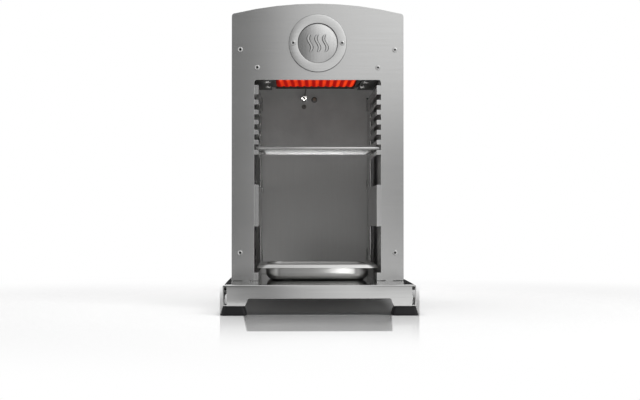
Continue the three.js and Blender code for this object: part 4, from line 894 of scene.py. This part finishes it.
def buildFastenerTree():
    inputs = {"Fastener": "Object", "Facing": "Rotation", "Roll Seed": "Int", "Size": "Float"}
    tree, source = geometryTree("fastenersOnPoints", inputs)
    shape = addNode(tree, "GeometryNodeObjectInfo", {"Object": source["Fastener"]})
    limits = {3: 2 * math.pi, "Seed": source["Roll Seed"]}
    roll = addNode(tree, "FunctionNodeRandomValue", limits, data_type="FLOAT")
    spin = addNode(tree, "ShaderNodeCombineXYZ", {"Z": roll.outputs[1]})
    turn = addNode(tree, "FunctionNodeEulerToRotation", {0: spin.outputs[0]})
    turns = {"Rotation": source["Facing"], "Rotate By": turn.outputs[0]}
    facing = addNode(tree, "FunctionNodeRotateRotation", turns, rotation_space="LOCAL")
    placed = addNode(tree, "GeometryNodeInstanceOnPoints", {
        "Points": source["Geometry"], "Instance": shape.outputs["Geometry"],
        "Rotation": facing.outputs[0], "Scale": source["Size"],
    })
    return endTree(tree, source, placed.outputs[0])


def runTree(name, tree, mesh, values, finish):
    piece = newPiece(name, mesh)
    modifier = piece.modifiers.new(tree.name, "NODES")
    modifier.node_group = tree
    sockets = {item.name: item.identifier for item in tree.interface.items_tree if item.in_out == "INPUT"}
    for label, value in {**values, "Finish": finishes[finish]}.items():
        modifier[sockets[label]] = value
    baked(piece)
    smoothed(piece.data, sharpFrom)
    return piece


screwLook = {
    "headRadius": 3.75, "headHeight": 2.2, "headRim": 0.45, "headEase": 0.15,
    "socketAcross": 1.45, "socketDepth": 1.1, "socketCone": 1.5, "socketEase": 0.12, "land": 0.42,
    "shankRadius": 1.95, "shankLength": 9.0, "tipShare": 0.7,
    "threadPitch": 0.7, "threadRoot": 0.82, "threadFrom": 0.4, "threadTo": 0.6,
    "steps": 36, "domeSteps": 6,
}


def screwShape(look):
    radius, height, rim = look["headRadius"], look["headHeight"], look["headRim"]
    shank, end, pitch = look["shankRadius"], -look["shankLength"], look["threadPitch"]
    across, ease, floor = look["socketAcross"], look["socketEase"], height - look["socketDepth"]
    land = across + look["land"]
    rows = [(0, end), (shank * look["tipShare"], end)]
    for turn in range(int((look["shankLength"] - 2 * look["threadTo"]) / pitch)):
        low = end + look["threadFrom"] + turn * pitch
        rows += [(shank * look["threadRoot"], low), (shank, low + pitch / 2)]
    rows += [(shank, -look["threadTo"]), (shank, 0), (radius - look["headEase"], 0)]
    for step in range(look["domeSteps"] + 1):
        angle = math.pi / 2 * step / look["domeSteps"]
        rows.append((land + (radius - land) * math.cos(angle), rim + (height - rim) * math.sin(angle)))
    rows += hexagon((across + ease, height), (across, height - ease), (across, floor))
    rows.append((0, floor - look["socketCone"]))
    return turned(rows, look["steps"])


boltLook = {
    "headRadius": 4.1, "headHeight": 3.0, "shankRadius": 2.35, "nutHeight": 3.6, "grip": 3.6, "tail": 2.2,
    "faceShare": 0.86, "faceEase": 0.5, "headEase": 0.1, "nutEase": 0.45, "tailEase": 0.4, "steps": 36,
}


def boltShape(look):
    radius, head, shank = look["headRadius"], look["headHeight"], look["shankRadius"]
    nut = head + look["grip"]
    top = nut + look["nutHeight"]
    tip = top + look["tail"]
    face = radius * look["faceShare"]
    faceEase, ease, nutEase, tailEase = pick(look, "faceEase", "headEase", "nutEase", "tailEase")
    rows = [(0, 0), (face, 0)] + hexagon((radius, faceEase), (radius, head - ease), (radius - ease, head))
    rows += [(shank, head), (shank, nut), (face, nut)]
    rows += hexagon((radius, nut + nutEase), (radius, top - nutEase))
    rows += [(face, top), (shank, top), (shank, tip - tailEase), (shank - tailEase, tip), (0, tip)]
    return turned(rows, look["steps"])


def template(name, shape, shadedHollow):
    # the last argument gives the radius and the lower and upper height of a socket that is marked for painted
    # shade, a near-black colour
    mesh = meshFrom(name, *shape)
    smoothed(mesh, sharpFrom)
    deep = mesh.attributes.new("deep", "FLOAT", "POINT")
    radius, low, high = (part * mm for part in shadedHollow)
    for vert, mark in zip(mesh.vertices, deep.data):
        mark.value = float(vert.co.xy.length < radius and low < vert.co.z < high)
    return bpy.data.objects.new(name, mesh)


def setFasteners(name, shape, names, side, inset, turn, seed, finish):
    # side is the axis and way that the heads face, and inset is the head's height above its seat
    seats = []
    for node in names:
        low, high, middle = boxOf(node)
        axis, way = side
        middle[axis] = (high if way > 0 else low)[axis] - way * inset * mm
        seats.append(tuple(middle))
    mesh = bpy.data.meshes.new(name)
    mesh.from_pydata(seats, [], [])
    values = {"Fastener": shape, "Facing": turn.to_euler(), "Roll Seed": seed, "Size": 1.0}
    keepPiece(runTree(name, fastenerTree, mesh, values, finish), *names)


print("fasteners")
fastenerTree = buildFastenerTree()
head = screwLook["headHeight"]
screw = template("buttonScrew", screwShape(screwLook), (1.8, -1.0, head - 0.1))
bolt = template("hexBolt", boltShape(boltLook), (0, 0, 0))
sides = ("left", "right")
frontKinds = ("panel_screw_low", "panel_screw_high", "burner_screw", "badge_screw")
frontScrews = [f"{kind}_{side}" for kind in frontKinds for side in sides]
coverScrews = [f"cover_screw_{height}_{side}" for height in ("low", "high") for side in sides]
burnerBolts = [f"burner_bolt_{end}_{side}" for end in ("front", "rear") for side in sides]
setFasteners("front_screws", screw, frontScrews, (1, -1), head, towardFront, 4, "fastenerSteel")
setFasteners("electrode_screws", screw, ["electrode_screw"], (1, -1), head, towardFront, 5, "heatedSteel")
setFasteners("cover_screws", screw, coverScrews, (1, 1), head, towardBack, 9, "fastenerSteel")
setFasteners("burner_bolts", bolt, burnerBolts, (2, -1), 0, asDrawn, 6, "platedSteel")
for shape in (screw, bolt):
    bpy.data.meshes.remove(shape.data)


# grate: cross bars from a geometry tree, end and side rods, beads where they are welded

grateLook = {
    "rodRadius": 2.5, "barRadius": 2.0, "barCount": 14, "sideAt": 78.0, "halfWidth": 89.5, "rodEase": 1.0,
    "bead": (2.875, 2.375, 2.5), "barSides": 20, "rodSides": 24,
}


def rowOfRods(tree, source, radius):
    # the points of a row, the two ways that a rod reaches from its point, and the rod itself
    steps = {"Count": source["Count"], "Start Location": source["First"], "Offset": source["Pitch"]}
    line = addNode(tree, "GeometryNodeMeshLine", steps, mode="OFFSET").outputs[0]
    ahead = source["Half Reach"]
    back = addNode(tree, "ShaderNodeVectorMath", {0: ahead, "Scale": -1}, operation="SCALE").outputs[0]
    run = addNode(tree, "GeometryNodeCurvePrimitiveLine", {"Start": back, "End": ahead})
    outline = {"Resolution": source["Sides"], "Radius": radius}
    section = addNode(tree, "GeometryNodeCurvePrimitiveCircle", outline)
    curves = {"Curve": run.outputs[0], "Profile Curve": section.outputs[0], "Fill Caps": True}
    rod = addNode(tree, "GeometryNodeCurveToMesh", curves).outputs[0]
    return line, (back, ahead), rod


def onPoints(tree, points, instance):
    return addNode(tree, "GeometryNodeInstanceOnPoints", {"Points": points, "Instance": instance}).outputs[0]


def grownBy(tree, geometry, scale):
    return addNode(tree, "GeometryNodeTransform", {"Geometry": geometry, "Scale": scale}).outputs[0]


rowInputs = {"Count": "Int", "First": "Vector", "Pitch": "Vector", "Half Reach": "Vector", "Sides": "Int"}


def buildBarTree():
    tree, source = geometryTree("evenBars", {**rowInputs, "Bar Radius": "Float", "Bead Size": "Vector"})
    line, ends, bar = rowOfRods(tree, source, source["Bar Radius"])
    joined = addNode(tree, "GeometryNodeJoinGeometry", {0: onPoints(tree, line, bar)})
    ball = addNode(tree, "GeometryNodeMeshIcoSphere", {"Subdivisions": 2, "Radius": 1})
    bead = grownBy(tree, ball.outputs[0], source["Bead Size"])
    for end in ends:
        moved = addNode(tree, "GeometryNodeSetPosition", {"Geometry": line, "Offset": end})
        feed(tree, onPoints(tree, moved.outputs[0], bead), joined.inputs[0])
    return endTree(tree, source, joined.outputs[0])


def makeGrate(look):
    low, high, middle = boxOf("grate")
    radius, half, side = look["rodRadius"], look["halfWidth"], look["sideAt"] * mm
    front, back = low.y + radius * mm, high.y - radius * mm
    pitch = (back - front) / (look["barCount"] + 1)
    bars = runTree("grate_bars", barTree, bpy.data.meshes.new("grate_bars"), {
        "Count": look["barCount"], "Pitch": (0, pitch, 0), "First": (0, front + pitch, middle.z),
        "Half Reach": (side, 0, 0), "Bar Radius": look["barRadius"] * mm, "Sides": look["barSides"],
        "Bead Size": tuple(part * mm for part in look["bead"]),
    }, "grateSteelPaintedLight")
    keepPiece(bars, "grate")
    rows = eased([(0, -half), (radius, -half), (radius, half), (0, half)], look["rodEase"])
    endRod = turned(rows, look["rodSides"])
    reach = (back - front) / 2 / mm
    sideRod = turned([(radius, -reach), (radius, reach)], look["rodSides"], capped=True)
    parts = [(*endRod, sideways, (0, y, middle.z)) for y in (front, back)]
    parts += [(*sideRod, towardBack, (x, (front + back) / 2, middle.z)) for x in (-side, side)]
    keepPiece(combined("grate_rods", parts, "polishedSteel", sharpFrom), "grate")


print("grate")
barTree = buildBarTree()
makeGrate(grateLook)


# pan: one drawn sheet, skinned through rounded rectangles

panLook = {
    "sheet": 1.0, "flare": 3.5, "flange": 11.0, "drop": 6.0, "rimCorner": 12.0, "bodyCorner": 22.0,
    "bottomCurve": 11.0, "bendRadius": 1.6, "cornerSteps": 14, "curveSteps": 10,
}


def roundedLoop(halfX, halfY, radius, height, middle, steps):
    loop = []
    for corner, (signX, signY) in enumerate(((1, 1), (-1, 1), (-1, -1), (1, -1))):
        for step in range(steps + 1):
            angle = math.pi / 2 * (corner + step / steps)
            loop.append(Vector((
                middle.x + (signX * (halfX - radius) + radius * math.cos(angle)) * mm,
                middle.y + (signY * (halfY - radius) + radius * math.sin(angle)) * mm,
                middle.z + height * mm,
            )))
    return loop


def makePan(look):
    low, high, middle = boxOf("pan")
    halfX, halfY = (high.x - low.x) / 2 / mm, (high.y - low.y) / 2 / mm
    tall = (high.z - low.z) / mm
    base = Vector((middle.x, middle.y, low.z))
    sheet, flare, rim = look["sheet"], look["flare"], look["flare"] + look["flange"]
    wall, curve = rim - sheet, look["bottomCurve"]
    under, hem = tall - sheet, tall - look["drop"]

    def bowl(inset, reach, floor):
        rows = []
        for step in range(look["curveSteps"] + 1):
            angle = math.pi / 2 * step / look["curveSteps"]
            rows.append((inset + reach * (1 - math.sin(angle)), floor + reach * (1 - math.cos(angle))))
        return rows

    lip = eased([
        (wall, curve + 0.01), (wall, under), (flare + sheet / 2, under), (sheet, hem), (sheet / 2, hem),
        (0, hem + 0.3), (flare - 0.2, tall), (rim, tall), (rim, curve),
    ], look["bendRadius"], 5)
    section = bowl(wall, curve, 0) + lip[1:-1] + list(reversed(bowl(rim, curve - sheet, sheet)))
    places = []
    for inset, height in section:
        share = min(inset / wall, 1.0)
        radius = look["rimCorner"] + (look["bodyCorner"] - look["rimCorner"]) * share
        radius -= max(inset - wall, 0)
        places += roundedLoop(halfX - inset, halfY - inset, max(radius, 1), height, base, look["cornerSteps"])
    faces = skin(len(section), 4 * (look["cornerSteps"] + 1), capped=True)
    keepPiece(combined("pan_drawn", [(places, faces, asDrawn, (0, 0, 0))], "panSteel", 50), "pan")


print("pan")
makePan(panLook)


# badge: turned ring and ground, with three plain wavy heat lines standing on the ground

badgeLook = {
    "outer": 41.5, "inner": 28.5, "thick": 3.5, "rebate": 31.3, "rebateDepth": 1.5, "ease": 0.8, "steps": 128,
    "ground": 31.0, "groundThick": 1.2, "groundEase": 0.2, "groundSteps": 96,
    "waveCount": 3, "wavePitch": 11.0, "waveHeight": 26.0, "waveSwing": 2.6, "waveWide": 4.6,
    "waveThick": 1.9, "waveSteps": 40, "waveSunk": 0.05,
    "waveSection": ((-1, 0.0), (-1, 0.4), (-0.62, 1.0), (0.62, 1.0), (1, 0.4), (1, 0.0)),
}


def heatLine(look, centre, seat):
    # one wavy bar, drawn in X and Z, rising towards the front
    places = []
    for step in range(look["waveSteps"] + 1):
        share = step / look["waveSteps"]
        height = (share - 0.5) * look["waveHeight"]
        swing = look["waveSwing"] * math.sin(share * 2 * math.pi)
        taper = math.sqrt(max(1 - (2 * share - 1) ** 8, 0.0)) * look["waveWide"] / 2
        for side, rise in look["waveSection"]:
            x, y = centre + swing + side * taper, seat - rise * look["waveThick"]
            places.append(Vector((x, y, height)) * mm)
    return places, skin(look["waveSteps"] + 1, len(look["waveSection"]))


def makeBadge(look):
    low, high, middle = boxOf("badge_ring")
    place = (middle.x, high.y, middle.z)
    outer, inner, thick, rebate, deep = pick(look, "outer", "inner", "thick", "rebate", "rebateDepth")
    rows = [(rebate, 0), (outer, 0), (outer, thick), (inner, thick), (inner, deep), (rebate, deep)]
    ring = turned(eased(rows, look["ease"], 4, True), look["steps"], True)
    keepPiece(combined("badge_ring_turned", [(*ring, towardFront, place)], "badgeSteel"), "badge_ring")
    ground, thick = look["ground"], look["groundThick"]
    rows = eased([(0, 0), (ground, 0), (ground, thick), (0, thick)], look["groundEase"], 2)
    parts = [(*turned(rows, look["groundSteps"]), towardFront, place)]
    for index in range(look["waveCount"]):
        centre = (index - (look["waveCount"] - 1) / 2) * look["wavePitch"]
        parts.append((*heatLine(look, centre, look["waveSunk"] - thick), asDrawn, place))
    keepPiece(combined("badge_ground_heat_lines", parts, "badgeGround", 30), "badge_ground")


print("badge")
makeBadge(badgeLook)


# burner: ribbed tile from a geometry tree, electrode and sensor

tileLook = {"ribCount": 11, "margin": 2.3, "ribWide": 0.47, "ribDeep": 1.75, "sides": 20}
blockEase = {"offset": 0.3 * mm, "segments": 2, "profile": 0.5}


def buildRibTree():
    tree, source = geometryTree("tileRibs", {**rowInputs, "Rib Size": "Vector"})
    line, ends, rib = rowOfRods(tree, source, mm)
    joined = addNode(tree, "GeometryNodeJoinGeometry", {0: source["Geometry"]})
    feed(tree, onPoints(tree, line, grownBy(tree, rib, source["Rib Size"])), joined.inputs[0])
    return endTree(tree, source, joined.outputs[0])


def blockMesh(name, low, high):
    mesh = bpy.data.meshes.new(name)
    work = bmesh.new()
    bmesh.ops.create_cube(work, size=1)
    for vert in work.verts:
        for axis in range(3):
            vert.co[axis] = low[axis] if vert.co[axis] < 0 else high[axis]
    bmesh.ops.bevel(work, geom=work.edges[:], affect="EDGES", **blockEase)
    work.to_mesh(mesh)
    work.free()
    return mesh


def makeTile(look):
    low, high, middle = boxOf("burner_tile")
    root = low.z + look["ribDeep"] * mm
    slab = blockMesh("burner_tile_ribbed", (low.x, low.y, root), high)
    inner, reach = ((high[axis] - low[axis]) / 2 - look["margin"] * mm for axis in (0, 1))
    pitch = 2 * inner / look["ribCount"]
    tile = runTree("burner_tile_ribbed", buildRibTree(), slab, {
        "Count": look["ribCount"], "First": (middle.x - inner + pitch / 2, middle.y, root),
        "Pitch": (pitch, 0, 0), "Half Reach": (0, reach, 0), "Sides": look["sides"],
        "Rib Size": (pitch * look["ribWide"] / mm, 1, look["ribDeep"]),
    }, "glowingCeramic")
    keepPiece(tile, "burner_tile")


electrodeLook = {
    "insulator": 4.0, "rim": 3.88, "glaze": 0.6, "bore": 1.7, "boreDepth": 8.0,
    "collar": 4.8, "collarNeck": 3.9, "collarRise": (0.55, 0.62), "collarEase": 0.35, "tipGap": 0.25,
    "tip": 2.2, "tipNose": (0.6, 0.7), "tipEase": 0.8,
    "steps": 40, "collarSteps": 48, "tipSteps": 32,
}


def depthOf(node):
    low, high, middle = boxOf(node)
    return (high.y - low.y) / mm


def makeElectrode(look):
    long = depthOf("spark_insulator")
    bore, floor, radius, rim = pick(look, "bore", "boreDepth", "insulator", "rim")
    rows = [(0, floor), (bore, floor), (bore, 0), (rim, 0), (radius, long), (0, long)]
    rows = eased(rows, look["glaze"], 4)
    keepTurned("spark_insulator_glazed", "spark_insulator", rows, look["steps"], "whiteCeramic")
    long, radius, neck = depthOf("sensor_collar"), look["collar"], look["collarNeck"]
    start, end = (long * share for share in look["collarRise"])
    bore = look["tip"] + look["tipGap"]
    rows = eased([(bore, 0), (neck, 0), (neck, start), (radius, end), (radius, long), (bore, long)],
                 look["collarEase"], 3, True)
    keepTurned("sensor_collar_turned", "sensor_collar", rows, look["collarSteps"], "heatedSteel", closed=True)
    long, radius = depthOf("sensor_tip"), look["tip"]
    wide, deep = (radius * share for share in look["tipNose"])
    rows = eased([(0, 0), (wide, 0), (radius, deep), (radius, long), (0, long)], look["tipEase"], 4)
    keepTurned("sensor_tip_turned", "sensor_tip", rows, look["tipSteps"], "heatedCopper")


print("burner, electrode and sensor")
makeTile(tileLook)
makeElectrode(electrodeLook)


# controls at the back

knobLook = {
    "radius": 20.0, "skirt": 3.5, "top": 20.0, "shoulder": 17.8, "crown": 15.6,
    "fluteCount": 12, "fluteDepth": 1.1, "bore": 4.3, "cap": 4.0, "steps": 144,
}


def makeKnob(look):
    low, high, middle = boxOf("control_knob")
    radius, skirt, shoulder, crown, top = pick(look, "radius", "skirt", "shoulder", "crown", "top")
    bore, steps, seat = look["bore"], look["steps"], top - look["cap"]
    rows = [
        # the third number is how much of their full depth the flutes have there
        (bore, 0, 0), (radius - 0.4, 0, 0), (radius, 0.5, 0), (radius, skirt - 0.4, 0),
        (radius - 0.5, skirt, 0), (shoulder + 0.5, skirt + 0.15, 0), (shoulder, skirt + 0.7, 0.2),
        (shoulder - 0.1, skirt + 2.2, 1), (crown + 0.35, top - 2.6, 1), (crown - 0.3, top - 0.9, 0.7),
        (crown - 1.3, top - 0.15, 0.15), (crown - 2.2, top, 0), (0, top, 0),
    ]

    def fluted(row, angle):
        wave = max(math.cos(angle * look["fluteCount"]), 0.0) ** 2
        return row[0] - row[2] * look["fluteDepth"] * wave

    shapes = (turned(rows, steps, reachAt=fluted), turned([(bore, 0), (bore, seat), (0, seat)], steps))
    parts = [(*shape, towardBack, (middle.x, low.y, middle.z)) for shape in shapes]
    keepPiece(combined("control_knob_fluted", parts, "knobPlastic", 50), "control_knob")


igniterLook = {
    "radius": 8.5, "bezel": 12.0, "bezelThick": 3.0, "nut": 12.0, "nutLength": 6.0, "bore": 6.8,
    "boreDepth": 18.0, "length": 37.0, "sheet": 1.8, "bodyEase": 0.6, "faceEase": 0.9, "steps": 72,
    "button": 6.4, "buttonLength": 18.0, "buttonEase": 0.8, "dish": (0.72, 0.66), "buttonSteps": 64,
}


def makeIgniter(look):
    radius, bezel, nut, bore, tip = pick(look, "radius", "bezel", "nut", "bore", "length")
    under = tip - look["bezelThick"]
    nutTop = under - look["sheet"]
    nutLow, floor = nutTop - look["nutLength"], tip - look["boreDepth"]
    rows = eased([(0, 0), (radius, 0), (radius, nutLow)], look["bodyEase"]) + [(nut - 0.8, nutLow)]
    rows += hexagon((nut, nutLow + 0.7), (nut, nutTop - 0.1), (nut - 0.1, nutTop))
    rows += [(radius, nutTop), (radius, under)]
    face = [(radius, under), (bezel, under), (bezel, tip), (bore, tip), (bore, floor), (0, floor)]
    rows += eased(face, look["faceEase"], 4)[1:]
    keepTurned("igniter_body_turned", "igniter_body", rows, look["steps"], "blackPlastic", sharpFrom)
    long, radius = pick(look, "buttonLength", "button")
    rim, dish = (radius * share for share in look["dish"])
    rows = [(0, 0), (radius, 0), (radius, long), (rim, long), (dish, long - 0.5), (0, long - 0.7)]
    rows, steps = eased(rows, look["buttonEase"], 4), look["buttonSteps"]
    keepTurned("igniter_button_turned", "igniter_button", rows, steps, "buttonPlastic", sharpFrom)


inletLook = {
    "block": 20.0, "sleeve": 8.0, "nut": 11.0, "nutLength": 8.0, "nutEase": 0.9, "stub": 6.6,
    "stubLength": 12.0, "bore": 3.0, "thread": 1.4, "threadDepth": 0.75, "threadFrom": 0.6, "threadTo": 2.2,
    "steps": 72,
}


def makeInlet(look):
    low, high, middle = boxOf("gas_inlet")
    long = look["block"] * mm
    half = long / 2
    corners = (middle.x - half, low.y, middle.z - half), (middle.x + half, low.y + long, middle.z + half)
    block = blockMesh("inletBlock", *corners)
    blockPlaces = [vert.co.copy() for vert in block.vertices]
    blockFaces = [tuple(face.vertices) for face in block.polygons]
    bpy.data.meshes.remove(block)
    sleeve, nut, stub, bore = pick(look, "sleeve", "nut", "stub", "bore")
    tip = (high.y - low.y) / mm - look["block"]
    top = tip - look["stubLength"]
    seat = top - look["nutLength"]
    root = stub - look["threadDepth"]
    rows = [(0, 0), (sleeve, 0), (sleeve, seat), (nut * 0.9, seat)]
    rows += hexagon((nut, seat + look["nutEase"]), (nut, top - look["nutEase"]))
    rows += [(nut * 0.9, top), (stub - 0.6, top)]
    for turn in range(int((look["stubLength"] - look["threadTo"]) / look["thread"])):
        start = top + look["threadFrom"] + turn * look["thread"]
        rows += [(root, start), (stub, start + look["thread"] / 2)]
    rows += [(root, tip - 1.2), (stub * 0.85, tip - 0.3), (stub * 0.8, tip), (bore + 0.5, tip)]
    rows += [(bore, tip - 0.5), (bore, top), (0, top - 1)]
    parts = [(blockPlaces, blockFaces, asDrawn, (0, 0, 0)),
             (*turned(rows, look["steps"]), towardBack, (middle.x, low.y + long, middle.z))]
    keepPiece(combined("gas_inlet_threaded", parts, "brassFitting", 32), "gas_inlet")


print("controls at the back")
makeKnob(knobLook)
makeIgniter(igniterLook)
makeInlet(inletLook)

print("sheet pieces and feet")
sheetNodes = (
    "front_panel", "base_tray", "rack_plate_left", "rack_plate_right", "outer_casing", "rear_cover",
    "cavity_liner_left", "cavity_liner_right", "cavity_back_wall", "burner_frame", "burner_rail_left",
    "burner_rail_right", "heat_shield",
)
for node in sheetNodes:
    dressNode(node)
for node in ("foot_front_left", "foot_front_right", "foot_rear_left", "foot_rear_right"):
    dressNode(node, width=0.6, segments=3, angle=30)

print("finishes on the plain nodes")
for name, node in nodes.items():
    if name not in standIns:
        for slot in node.material_slots:
            slot.link = "OBJECT"
            slot.material = finishFor(name)
